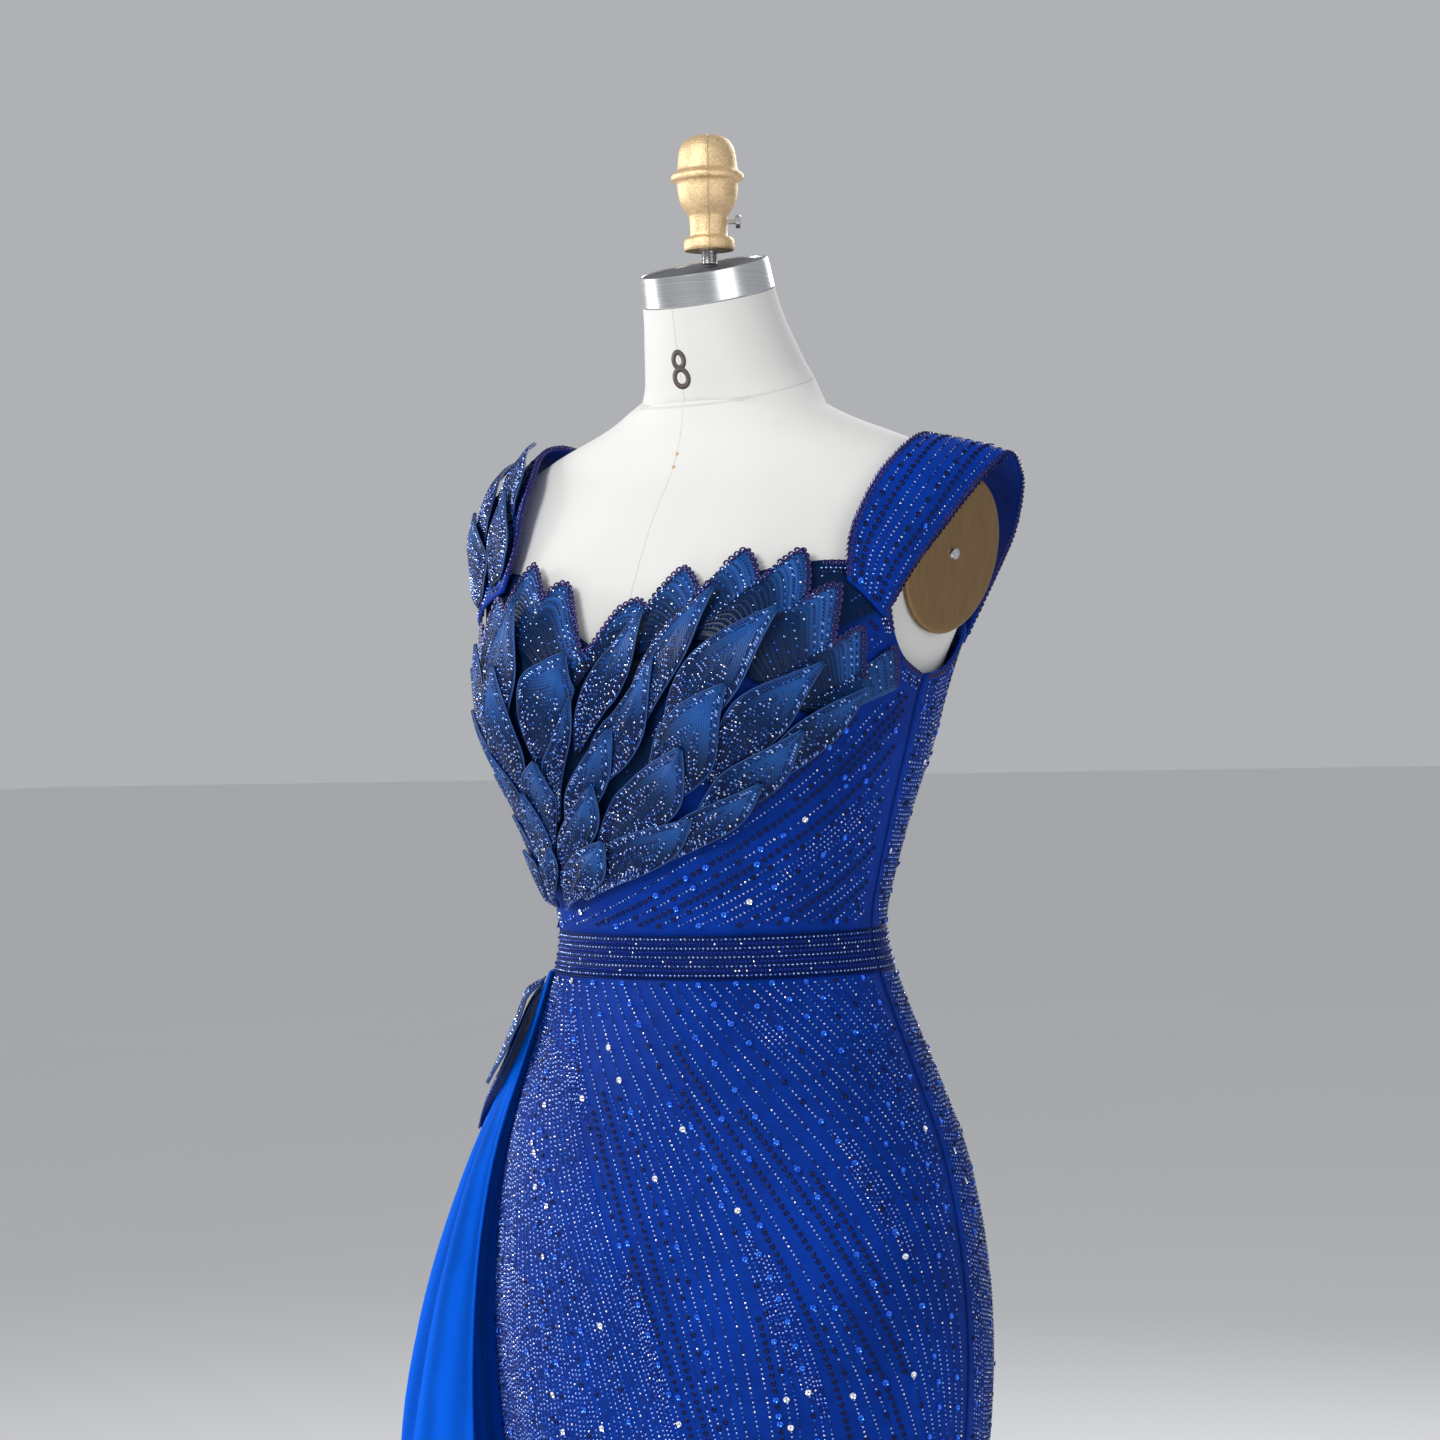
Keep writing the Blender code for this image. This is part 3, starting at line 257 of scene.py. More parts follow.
FAN_EDGE = Table(
    ("angle", "z"),
    (-90.0, 1.240),
    (-80.0, 1.250),
    (-68.0, 1.256),
    (-54.0, 1.268),
    (-40.0, 1.280),
    (-28.0, 1.306),
    (-17.0, 1.306),
    (-9.0, 1.280),
    (-3.0, 1.266),
    (5.0, 1.296),
    (14.0, 1.302),
    (26.0, 1.312),
    (38.0, 1.310),
    (44.0, 1.300),
    (52.0, 1.280),
    (64.0, 1.256),
    (76.0, 1.246),
    (90.0, 1.236),
)
# Rows of feathers: count, first and last share of the fan, reach of the tips, length, how far over.
TIERS = (
    (10, 0.04, 0.99, 0.880, 0.390, 0.0),
    (7, 0.05, 0.96, 0.715, 0.390, 0.0),
    (6, 0.10, 0.98, 0.550, 0.370, 0.0),
    (4, 0.12, 0.92, 0.395, 0.310, 0.0),
    (3, 0.20, 0.80, 0.255, 0.205, 0.0016),
)
# Strap feathers: along and across the strap at the root and at the tip, and the width.
STRAP_FEATHERS = (
    (0.215, 0.25, 0.460, 0.20, 0.040),
    (0.195, 0.68, 0.430, 0.66, 0.040),
    (0.050, 0.25, 0.290, 0.25, 0.038),
    (0.045, 0.68, 0.270, 0.70, 0.038),
)
# Hip feathers: angle and height at the root and at the tip, the width, and how many lie under it.
HIP_FEATHERS = (
    (-60.0, 1.016, -75.0, 0.902, 0.040, 0),
    (-72.0, 1.018, -98.0, 0.910, 0.042, 1),
    (-56.0, 1.020, -62.0, 0.938, 0.036, 2),
)

# ---------------------------------------------------------------- the beading's own tables
# Which way the skirt's bead lines leave the waist: degrees from straight down towards the wearer's left.
SKIRT_SLOPE = Table(
    ("angle", "slope"),
    (-180.0, 6.0),
    (-120.0, -4.0),
    (-80.0, -16.0),
    (-60.0, -12.0),
    (-46.0, 6.0),
    (-30.0, 22.0),
    (-5.0, 32.0),
    (30.0, 40.0),
    (60.0, 38.0),
    (85.0, 26.0),
    (110.0, 14.0),
    (150.0, 2.0),
    (180.0, -6.0),
)
# Leaf-shaped patches of close rows on the skirt: angle and height of the middle, length, width, lean.
SKIRT_PATCHES = (
    (-22.0, 0.972, 0.110, 0.020, 22.0),
    (2.0, 0.780, 0.130, 0.022, 16.0),
    (-20.0, 0.700, 0.150, 0.022, 14.0),
    (40.0, 0.985, 0.070, 0.015, 40.0),
    (34.0, 0.800, 0.150, 0.024, 22.0),
    (-44.0, 0.800, 0.140, 0.020, -8.0),
    (62.0, 0.880, 0.120, 0.018, 26.0),
    (14.0, 0.560, 0.160, 0.024, 4.0),
    (-34.0, 0.520, 0.170, 0.024, -6.0),
    (54.0, 0.600, 0.170, 0.024, 8.0),
    (-4.0, 0.360, 0.170, 0.026, 0.0),
    (36.0, 0.340, 0.180, 0.026, 4.0),
    (74.0, 0.400, 0.180, 0.026, 4.0),
    (-44.0, 0.300, 0.170, 0.026, -6.0),
    (10.0, 0.160, 0.180, 0.030, 0.0),
    (50.0, 0.150, 0.180, 0.030, 0.0),
    (-28.0, 0.130, 0.160, 0.030, 0.0),
    (120.0, 0.800, 0.150, 0.024, 6.0),
    (150.0, 0.620, 0.160, 0.024, 0.0),
    (112.0, 0.420, 0.170, 0.026, 4.0),
    (160.0, 0.300, 0.180, 0.028, 0.0),
    (128.0, 0.180, 0.180, 0.030, 0.0),
    (-150.0, 0.860, 0.130, 0.022, 0.0),
    (-172.0, 0.520, 0.160, 0.024, 0.0),
)
# The lamps: name, place, how far across, power.
LAMPS = (
    ("key", (-0.4, -3.2, 3.0), 1.4, 84.0),
    ("fill", (3.4, -1.4, 1.6), 2.2, 27.0),
    ("side", (-3.0, -0.6, 1.9), 1.2, 46.0),
    ("back", (-0.6, 3.2, 2.6), 1.6, 40.0),
)


# ---------------------------------------------------------------- surfaces
def unit(vectors):
    return vectors / np.maximum(np.linalg.norm(vectors, axis=-1, keepdims=True), 1e-12)


def dot(a, b):
    return (a * b).sum(-1)


def smoothstep(low, high, value):
    t = np.clip((np.asarray(value, float) - low) / (high - low), 0.0, 1.0)
    return t * t * (3 - 2 * t)


def stacked(*parts):
    made = np.empty(np.broadcast(*parts).shape + (len(parts),))
    for axis, part in enumerate(parts):
        made[..., axis] = part
    return made


def armhole_normal(side):
    forward, down = math.radians(ARMHOLE_FORWARD_DEG), math.radians(ARMHOLE_DOWN_DEG)
    return stacked(
        side * (math.cos(forward) * math.cos(down)), -math.sin(forward) * math.cos(down), -math.sin(down)
    )


def armhole_point(side):
    return stacked(side * ARMHOLE_POINT[0], ARMHOLE_POINT[1], ARMHOLE_POINT[2])


def bust_rise(x, z):
    spread = np.where(z > BUST_Z, BUST_SPREAD_UP, BUST_SPREAD_DOWN)
    across = sum(np.exp(-(((x - side * BUST_X) / BUST_SPREAD_X) ** 2) / 2) for side in (-1, 1))
    return BUST_RISE * np.exp(-(((z - BUST_Z) / spread) ** 2) / 2) * across


def body_section(angle, z):
    """Points of the body surface. The angle is 0 at the front and 90 at the wearer's left."""
    angle, z = np.broadcast_arrays(np.asarray(angle, float), np.asarray(z, float))
    row = BODY.at(z)
    sine, cosine = np.sin(np.radians(angle)), np.cos(np.radians(angle))
    power = 2.0 / row["square"]
    depth = np.where(cosine > 0, row["front"] + row["mid_y"], row["back"] - row["mid_y"])
    x = row["half_width"] * np.sign(sine) * np.abs(sine) ** power
    y = row["mid_y"] - depth * np.sign(cosine) * np.abs(cosine) ** power
    y = y - bust_rise(x, z) * smoothstep(0.0, 0.5, cosine)
    if np.max(z) > BUST_Z:
        side = np.where(x > 0, 1.0, -1.0)
        normal = armhole_normal(side)
        beyond = dot(stacked(x, y, z) - armhole_point(side), normal)
        x = np.where((beyond > 0) & (z > BUST_Z), x - beyond / normal[..., 0], x)
    return stacked(x, y, z)


def body_frame(angle, z):
    """Points of the body surface and the way out of it there."""
    along = body_section(angle + 0.6, z) - body_section(angle - 0.6, z)
    up = body_section(angle, z + 0.0015) - body_section(angle, z - 0.0015)
    return body_section(angle, z), unit(np.cross(along, up))


def body_point(angle, z, lift=0.0):
    angle, z = np.asarray(angle, float), np.asarray(z, float)
    point, normal = body_frame(angle, z)
    return point + normal * np.asarray(lift, float)[..., None]


def clear_of_body(point, clearance):
    """Points over the left shoulder, moved out level until they clear the body there."""
    row = BODY.at(point[..., 2])
    y = point[..., 1] - row["mid_y"]
    depth = np.where(y < 0, row["front"] + row["mid_y"], row["back"] - row["mid_y"])
    power = row["square"]
    aside, ahead = np.abs(point[..., 0]) / row["half_width"], np.abs(y) / depth
    share = (aside**power + ahead**power) ** (1 / power)
    reach = np.hypot(point[..., 0], y)
    soft = 0.003 / reach
    short = (share - 1 - clearance / reach) / soft
    grown = (1 + clearance / reach + soft * np.log1p(np.exp(np.minimum(short, 20)))) / share
    around = stacked(point[..., 0] * grown, row["mid_y"] + y * grown, point[..., 2])
    normal = armhole_normal(1)
    level = np.maximum(0.0, clearance - dot(point - armhole_point(1), normal))
    through = point + stacked(level / normal[0], 0 * level, 0 * level)
    part = smoothstep(-0.002, 0.004, np.linalg.norm(around - point, axis=-1) - level)[..., None]
    return np.where(short[..., None] > 20, point, around + (through - around) * part)


def strap_rows(side, across):
    """A strap's rows of points at shares across it, front to back, as on the wearer's left."""
    front, back, lift = STRAP_ENDS[side]
    rows = []
    for neck, right_neck, arm, crown in STRAP:
        neck = np.array(neck if side > 0 else right_neck)
        arm = np.array(arm) - ((0, 0, 0) if side > 0 else (RIGHT_ARM_EDGE_IN, 0, 0))
        out = unit((neck + arm) / 2 - np.array(STRAP_CENTRE))
        rise = crown * np.sin(math.pi * np.clip(across, 0, 1))
        point = neck + (arm - neck) * across[..., None] + out * rise[..., None]
        rows.append(clear_of_body(point, STRAP_CLEAR))
    ends = [
        body_point(neck_a + (arm_a - neck_a) * across, neck_z + (arm_z - neck_z) * across, lift)
        for neck_a, neck_z, arm_a, arm_z in (front, back)
    ]
    return np.stack([ends[0]] + rows + [ends[1]])


STRAP_SHARES = np.linspace(-0.5, 1.5, 401)
STRAP_GRIDS = {side: strap_rows(side, STRAP_SHARES) for side in (1, -1)}


def strap_plain(side, along, across):
    grid = STRAP_GRIDS[side]
    last = len(grid) - 1
    at = np.clip(along, 0, 1) * last
    i = np.minimum(at.astype(int), last - 1)
    t = (at - i)[..., None]
    over = np.clip((across + 0.5) / 2 * 400, 0, 399.999)
    j = over.astype(int)
    part = (over - j)[..., None]
    near = [(np.clip(i + k, 0, last), j) for k in (-1, 0, 1, 2)]
    p0, p1, p2, p3 = (grid[row, j] * (1 - part) + grid[row, j + 1] * part for row, j in near)
    bend = p0 * 2 - p1 * 5 + p2 * 4 - p3
    return (p1 * 2 + (p2 - p0) * t + bend * t * t + (p1 * 3 - p0 - p2 * 3 + p3) * t**3) / 2


def strap_frame(side, along, across):
    """Points of a strap and the way out of it: along from its front end, across from the neck edge."""
    along, across = (np.atleast_1d(v).astype(float) for v in np.broadcast_arrays(along, across))
    forward = strap_plain(side, along + 0.01, across) - strap_plain(side, along - 0.01, across)
    outward = strap_plain(side, along, across + 0.01) - strap_plain(side, along, across - 0.01)
    mirror = np.array((side, 1, 1))
    return strap_plain(side, along, across) * mirror, unit(np.cross(outward, forward)) * mirror


def strap_point(side, along, across, lift=0.0):
    point, normal = strap_frame(side, along, across)
    return point + normal * np.asarray(lift, float)[..., None]


def fan_point(share, reach):
    """The angle and height at a share across the feather fan and a share of the way out."""
    angle = FAN_FIRST_ANGLE + (FAN_LAST_ANGLE - FAN_FIRST_ANGLE) * share
    reach = np.maximum(reach, 0.0)
    z = FAN_Z + (FAN_EDGE.at(angle)["z"] - FAN_Z) * reach
    return FAN_ANGLE + (angle - FAN_ANGLE) * reach**FAN_SPREAD, z


def leaf_outline(along):
    point = 1 - FEATHER_POINT * smoothstep(0.5, 1.0, along)
    return np.maximum(FEATHER_TIP_SHARE, np.abs(np.sin(math.pi * along**1.12)) ** 0.72 * point)


def rooted(seat, lift, up):
    return seat + (lift - seat) * smoothstep(0.0, FEATHER_ROOT_SHARE, up)


def overskirt_lift(z, share):
    row = OVERSKIRT.at(z)
    wave = 0.5 - 0.5 * np.cos(2 * math.pi * OVERSKIRT_FOLDS * share)
    edge = smoothstep(0.0, 0.10, share) * smoothstep(0.0, 0.12, 1 - share)
    lift = 0.0050 + (row["stand_off"] - 0.0050) * (0.25 + 0.75 * edge)
    return lift + row["fold_depth"] * ((wave - 0.5) * (0.35 + 0.65 * edge) + 0.5)


def form_gap(z):
    away = 1 - np.exp(-(((z - WAIST_Z) / 0.05) ** 2))
    return FORM_GAP + FORM_GAP_MORE * away + FORM_GAP_CUPS * np.exp(-(((z - BUST_Z) / 0.05) ** 2))


def neck_point(turn, ring, out=0.0):
    """Points of the neck: turn in degrees from the front, ring from 0 at its foot to 5 at its top."""
    row = NECK.at(ring)
    tilt = np.radians(row["tilt_deg"])
    side, ahead = np.sin(np.radians(turn)), np.cos(np.radians(turn))
    back = -(row["half_depth"] + out) * ahead
    return stacked(
        (row["half_width"] + out) * side, row["y"] + back * np.cos(tilt), row["z"] + back * np.sin(tilt)
    )


def angle_width(angle, z):
    """Metres that a degree of angle takes on the body."""
    return np.linalg.norm(body_section(angle + 0.5, z) - body_section(angle - 0.5, z), axis=-1)


def seam_angle(angle, z):
    return SEAM_GAP / 2 / angle_width(angle, z)


def zip_angle(z):
    return (ZIP_WIDTH / 2 + SEAM_GAP) / angle_width(BACK_SEAM_DEG, z)


# ---------------------------------------------------------------- shader trees
class Value:
    """A socket of a shader tree, on which Python's arithmetic adds Math nodes."""

    def __init__(self, finish, socket):
        self.finish, self.socket = finish, socket

    def maths(self, operation, first, second=0.0):
        return self.finish.node("Math", {"operation": operation}, {0: first, 1: second})

    def __add__(self, other):
        return self.maths("ADD", self, other)

    def __sub__(self, other):
        return self.maths("SUBTRACT", self, other)

    def __rsub__(self, other):
        return self.maths("SUBTRACT", other, self)

    def __mul__(self, other):
        return self.maths("MULTIPLY", self, other)

    def __abs__(self):
        return self.maths("ABSOLUTE", self)

    def sine(self):
        return self.maths("SINE", self)

    __radd__, __rmul__ = __add__, __mul__


class Finish:
    """A material in the making, on one Principled shader."""

    def __init__(self, name, **constants):
        self.material = bpy.data.materials.new(name)
        self.material.use_nodes = True
        self.tree = self.material.node_tree
        self.shader = self.tree.nodes["Principled BSDF"]
        for socket, value in constants.items():
            self.put(socket.replace("_", " ").title().replace("Ior", "IOR"), value)

    def node(self, kind, settings=None, values=None, output=0):
        made = self.tree.nodes.new("ShaderNode" + kind)
        for key, value in (settings or {}).items():
            if key != "stops":
                setattr(made, key, value)
                continue
            ramp = made.color_ramp
            while len(ramp.elements) < len(value):
                ramp.elements.new(0.5)
            for element, (place, colour) in zip(ramp.elements, value):
                element.position, element.color = place, (*colour, 1.0)
        for key, value in (values or {}).items():
            self.fill(made.inputs[key], value)
        return Value(self, made.outputs[output])

    def fill(self, socket, value):
        if isinstance(value, Value):
            self.tree.links.new(value.socket, socket)
        elif hasattr(value, "__len__") and socket.type == "RGBA":
            socket.default_value = (*value[:3], 1.0)
        else:
            socket.default_value = value

    def put(self, socket, value):
        self.fill(self.shader.inputs[socket], value)
        if socket == "Base Color" and not isinstance(value, Value):
            self.material.diffuse_color = (*value[:3], 1.0)
        return self

    def places(self, kind="Object"):
        return self.node("TexCoord", output=kind)

    def cut(self):
        """The cloth's own flat coordinates, in metres, or in shares of a leaf."""
        return self.node("UVMap", {"uv_map": "cut"})

    def part(self, vector, axis):
        return self.node("SeparateXYZ", values={0: vector}, output=axis)

    def noise(self, scale, detail=3.0, vector=None, rough=0.55):
        values = {"Scale": scale, "Detail": detail, "Roughness": rough}
        return self.node("TexNoise", values={"Vector": vector or self.places(), **values})

    def mix(self, share, low, high):
        return self.node("Mix", {"data_type": "RGBA"}, {0: share, 6: low, 7: high}, output=2)

    def ramp(self, share, *stops):
        return self.node("ValToRGB", {"stops": stops}, {0: share})

    def fade(self, value, low, high):
        """0 below low, 1 above high, soft between."""
        settings = {"interpolation_type": "SMOOTHSTEP"}
        return self.node("MapRange", settings, {0: value, 1: low, 2: high, 3: 0.0, 4: 1.0})

    def bump(self, height, distance, strength=1.0):
        values = {"Height": height, "Distance": distance, "Strength": strength}
        return self.put("Normal", self.node("Bump", values=values))


# ---------------------------------------------------------------- meshes
def new_object(name, mesh, finish):
    mesh.materials.append(finish)
    thing = bpy.data.objects.new(name, mesh)
    bpy.context.scene.collection.objects.link(thing)
    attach(thing, "root")
    return thing


def new_mesh(name, points, faces, cut=None, sharp=None):
    """A mesh from arrays: points, faces with the same number of corners each, and flat coordinates."""
    mesh = bpy.data.meshes.new(name)
    mesh.vertices.add(len(points))
    mesh.vertices.foreach_set("co", np.asarray(points, np.float32).ravel())
    count, sides = faces.shape
    mesh.loops.add(count * sides)
    mesh.loops.foreach_set("vertex_index", faces.astype(np.int32).ravel())
    mesh.polygons.add(count)
    mesh.polygons.foreach_set("loop_start", np.arange(0, count * sides, sides, dtype=np.int32))
    mesh.update(calc_edges=True)
    if cut is not None:
        layer = mesh.uv_layers.new(name="cut")
        layer.data.foreach_set("uv", np.asarray(cut, np.float32)[faces.ravel()].ravel())
    mesh.shade_smooth()
    if sharp:
        mesh.set_sharp_from_angle(angle=math.radians(sharp))
    return mesh


def grid_faces(columns, rows):
    i, j = np.meshgrid(np.arange(columns), np.arange(rows))
    low = (j * (columns + 1) + i).ravel()
    return np.stack([low, low + 1, low + columns + 2, low + columns + 1], 1)


def cloth(
    name, place, size, thickness, finish, slot, node, held, rests_on,
    even=True, flip=False, leaf=False, rows_for_width=slice(None),
):
    """A wall of cloth laid by place(across, up), both 0 to 1, thickened outwards."""
    columns, rows = size
    across, up = np.meshgrid(np.linspace(0, 1, columns + 1), np.linspace(0, 1, rows + 1))
    points = place(across.ravel(), up.ravel())
    faces = grid_faces(columns, rows)
    grid = points.reshape(rows + 1, columns + 1, 3)
    width = float(np.linalg.norm(np.diff(grid, axis=1), axis=2).sum(1)[rows_for_width].max())
    length = float(np.linalg.norm(np.diff(grid, axis=0), axis=2).sum(0).max())
    corners = points[faces]
    crossed = np.cross(corners[:, 2] - corners[:, 0], corners[:, 3] - corners[:, 1])
    area = float(np.linalg.norm(crossed, axis=1).sum() / 2)
    cut = [across.ravel() - 0.5, up.ravel()] if leaf else [across.ravel() * width, up.ravel() * length]
    mesh = new_mesh(name, points, faces[:, ::-1] if flip else faces, np.stack(cut, 1), 50)
    thing = new_object(name, mesh, finish)
    wall = thing.modifiers.new("wall", "SOLIDIFY")
    wall.thickness, wall.offset = thickness, 1.0
    wall.use_even_offset, wall.use_quality_normals = even, True
    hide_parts(node)
    width = max(width, NARROWEST_CUT)
    area = min(max(area, LEAST_CUT_SHARE * width * length), width * length)
    return thing


def loft(name, rings, finish, slot, *nodes, sharp=None):
    """A closed solid through an array of rings of points, bottom to top."""
    rows, count = rings.shape[:2]
    faces = []
    for r in range(rows - 1):
        for i in range(count):
            j = (i + 1) % count
            faces.append((r * count + i, r * count + j, (r + 1) * count + j, (r + 1) * count + i))
    faces.append(tuple(range(count))[::-1])
    faces.append(tuple(range((rows - 1) * count, rows * count)))
    mesh = bpy.data.meshes.new(name)
    mesh.from_pydata(rings.reshape(-1, 3).tolist(), [], faces)
    mesh.shade_smooth()
    mesh.set_sharp_from_angle(angle=math.radians(sharp or 40))
    thing = new_object(name, mesh, finish)
    if nodes:
        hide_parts(*nodes)
    return thing


def turned(name, profile, place, steps, finish, slot, *nodes, sharp=40):
    """A turned piece: a profile of (radius, height) run down its outer side, laid by a matrix."""
    profile = [(max(radius, 1e-5), height) for radius, height in reversed(profile)]
    turn = np.arange(steps) / steps * 2 * math.pi
    rings = np.array([[(r * math.cos(t), r * math.sin(t), h) for t in turn] for r, h in profile])
    spun = np.array(place.to_3x3())
    rings = rings @ spun.T + np.array(place.translation)
    return loft(name, rings, finish, slot, *nodes, sharp=sharp)


def rounded(profile, times=2):
    """A profile with its corners cut off a few times over, keeping its first and last points."""
    points = np.array(profile, float)
    for _ in range(times):
        low, high = points[:-1], points[1:]
        cut = np.stack([low * 0.75 + high * 0.25, low * 0.25 + high * 0.75], 1).reshape(-1, 2)
        points = np.vstack([points[:1], cut[1:-1], points[-1:]])
    return points.tolist()


def facing(origin, normal):
    return Matrix.Translation(origin) @ Vector(normal).to_track_quat("Z", "Y").to_matrix().to_4x4()


def sweep(name, paths, normals, half_wide, half_high, finish, closed=False):
    """Joined four-sided strips along paths of points, flat on the given normals."""
    points, faces, base = [], [], 0
    for path, normal in zip(paths, normals):
        ahead = np.roll(path, -1, 0) - np.roll(path, 1, 0) if closed else np.gradient(path, axis=0)
        side = unit(np.cross(normal, unit(ahead)))
        up = unit(np.cross(unit(ahead), side))
        wide, high = side * half_wide, up * half_high
        points.append(np.stack([path + wide, path + high, path - wide, path - high], 1).reshape(-1, 3))
        count = len(path)
        i, j = np.meshgrid(np.arange(count if closed else count - 1), np.arange(4), indexing="ij")
        following, across = (i + 1) % count, (j + 1) % 4
        quads = np.stack([i * 4 + j, i * 4 + across, following * 4 + across, following * 4 + j], -1)
        faces.append(quads.reshape(-1, 4) + base)
        if not closed:
            first_cap, last_cap = np.arange(4)[::-1], np.arange(4) + (count - 1) * 4
            faces.append(np.stack([first_cap, last_cap]) + base)
        base += count * 4
    return new_object(name, new_mesh(name, np.vstack(points), np.vstack(faces)), finish)


# ---------------------------------------------------------------- finishes
def shaded(colour, by, lift=0.0):
    """A colour made darker or lighter by a factor, then lifted."""
    return [min(1.0, c * by + lift) for c in colour]


def cloth_shader(name, sheen, sheen_rough, tint, gloss):
    """The start of a cloth's finish: its sheen and how much it shines."""
    return Finish(
        name, sheen_weight=sheen, sheen_roughness=sheen_rough, sheen_tint=tint, specular_ior_level=gloss
    )


def satin_finish(name, colour, slot_rough=0.44, backing=None):
    """A close satin: a soft sheen, a tiny weave, and under the feathers a painted shade of dark organza
    colour that shows in the gaps between them.
    """
    finish = cloth_shader(name, 0.04, 0.35, (0.0, 0.2, 1.0), 0.06)
    cut = finish.cut()
    across, along = finish.part(cut, 0), finish.part(cut, 1)
    turn = 2 * math.pi / 0.0013
    weave = (across * turn).sine() * (along * turn).sine()
    cloud = finish.noise(9.0, 4.0)
    slub = finish.noise(160.0, 2.0)
    shade = finish.fade(cloud * 0.75 + slub * 0.25 + weave * 0.03, 0.34, 0.66)
    base = finish.mix(shade, shaded(colour, 0.74), shaded(colour, 1.22))
    # Painted shade: a dark organza colour above the fan's lower edge at the front, seen in the gaps between
    # the feathers.
    if backing:
        place = finish.places()
        over = finish.part(place, 2) - finish.part(place, 0) * FAN_FOOT_RISE - FAN_FOOT_Z
        ahead = 1 - finish.fade(finish.part(place, 1), -0.052, -0.040)
        base = finish.mix(finish.fade(over + cloud * 0.006, 0.010, 0.020) * ahead, base, backing)
    finish.put("Base Color", base)
    finish.put("Roughness", cloud * 0.16 + (slot_rough - 0.08))
    return finish.bump(weave * 0.5 + slub * 0.6, 0.00022, 0.7).material


def organza_finish(name, colour, barbs=64.0):
    """Layered organza: deep at the root, a paler sheer patch near the tip, barbs and paler edges."""
    finish = cloth_shader(name, 0.10, 0.3, (0.0, 0.4, 1.0), 0.14)
    cut = finish.cut()
    aside, along = abs(finish.part(cut, 0)), finish.part(cut, 1)
    barb = ((along + aside * 0.55) * (barbs * math.pi)).sine()
    cloud = finish.noise(14.0, 4.0)
    shades = [shaded(colour, *change) for change in ((0.32, 0.0), (0.75, 0.0), (3.2, 0.016), (2.0, 0.006))]
    reach = along + cloud * 0.24 - 0.12
    base = finish.ramp(reach, (0.0, shades[0]), (0.58, shades[1]), (0.82, shades[2]), (1.0, shades[3]))
    base = finish.mix(finish.fade(barb, -0.4, 1.0) * 0.4, base, shades[0])
    base = finish.mix(finish.fade(aside, 0.45, 0.49), base, shaded(colour, 2.0, 0.008))
    finish.put("Base Color", base)
    finish.put("Roughness", cloud * 0.2 + 0.26)
    return finish.bump(barb * 0.5 + finish.noise(220.0, 2.0) * 0.5, 0.0003, 0.8).material


def net_finish(name, colour):
    """Soft tulle in several layers: a fine mesh, with painted highlights and painted shade in stripes that
    stand for its folds.
    """
    finish = cloth_shader(name, 0.25, 0.5, (0.0, 0.3, 1.0), 0.04)
    # A painted glow: emission that stands in for the light that comes through the layers.
    finish.put("Emission Color", colour).put("Emission Strength", 0.10)
    cut = finish.cut()
    across, along = finish.part(cut, 0), finish.part(cut, 1)
    turn = 2 * math.pi / 0.0022
    mesh = ((across + along * 0.577) * turn).sine() * ((across - along * 0.577) * turn).sine()
    cloud = finish.noise(5.0, 3.0)
    # Painted fold light: stripes paler and darker in turn, for the lit and shaded sides of folds; they also
    # bump the net.
    fold_light_stripes = (across * 160.0 + cloud * 9.0).sine()
    shade = finish.fade(cloud + fold_light_stripes * 0.16 + mesh * 0.12, 0.26, 0.78)
    finish.put("Base Color", finish.mix(shade, shaded(colour, 0.70), shaded(colour, 1.25)))
    finish.put("Roughness", mesh * 0.08 + 0.62)
    return finish.bump(mesh * 0.4 + fold_light_stripes * 0.25, 0.0004, 0.6).material


def linen_finish(colour):
    """The form's close off-white cover, with its centre and neck seams."""
    finish = Finish("form_linen", sheen_weight=0.2, sheen_roughness=0.5, specular_ior_level=0.3)
    place = finish.places()
    x, y, z = (finish.part(place, axis) for axis in range(3))
    turn = 2 * math.pi / 0.0011
    weave = (x * turn + y * turn).sine() * (z * turn).sine()
    cloud = finish.noise(6.0, 4.0)
    centre = 1 - finish.fade(abs(x), 0.00015, 0.0007)
    foot = 1 - finish.fade(abs(z * 0.966 - y * 0.259 - 1.3800), 0.0002, 0.0009)
    seam = finish.node("Math", {"operation": "MAXIMUM"}, {0: centre, 1: foot})
    shade = finish.fade(cloud + weave * 0.02, 0.3, 0.7)
    base = finish.mix(shade, shaded(colour, 0.93), colour)
    finish.put("Base Color", finish.mix(seam * 0.22, base, shaded(colour, 0.55)))
    finish.put("Roughness", cloud * 0.12 + 0.62)
    return finish.bump(weave * 0.2 - seam * 2.0, 0.0003, 0.6).material


def brushed_finish(name, colour, roughness, grain=(3.0, 3.0, 900.0), metallic=1.0):
    """Metal with its grain run round it, or along it."""
    finish = Finish(name, metallic=metallic)
    stretched = finish.node("VectorMath", {"operation": "MULTIPLY"}, {0: finish.places(), 1: grain}, 0)
    lines = finish.noise(1.0, 3.0, stretched)
    cloud = finish.noise(30.0, 3.0)
    finish.put("Base Color", finish.mix(lines, shaded(colour, 0.72), shaded(colour, 1.15)))
    finish.put("Roughness", lines * 0.16 + cloud * 0.10 + (roughness - 0.13))
    return finish.bump(lines, 0.00012, 0.5).material


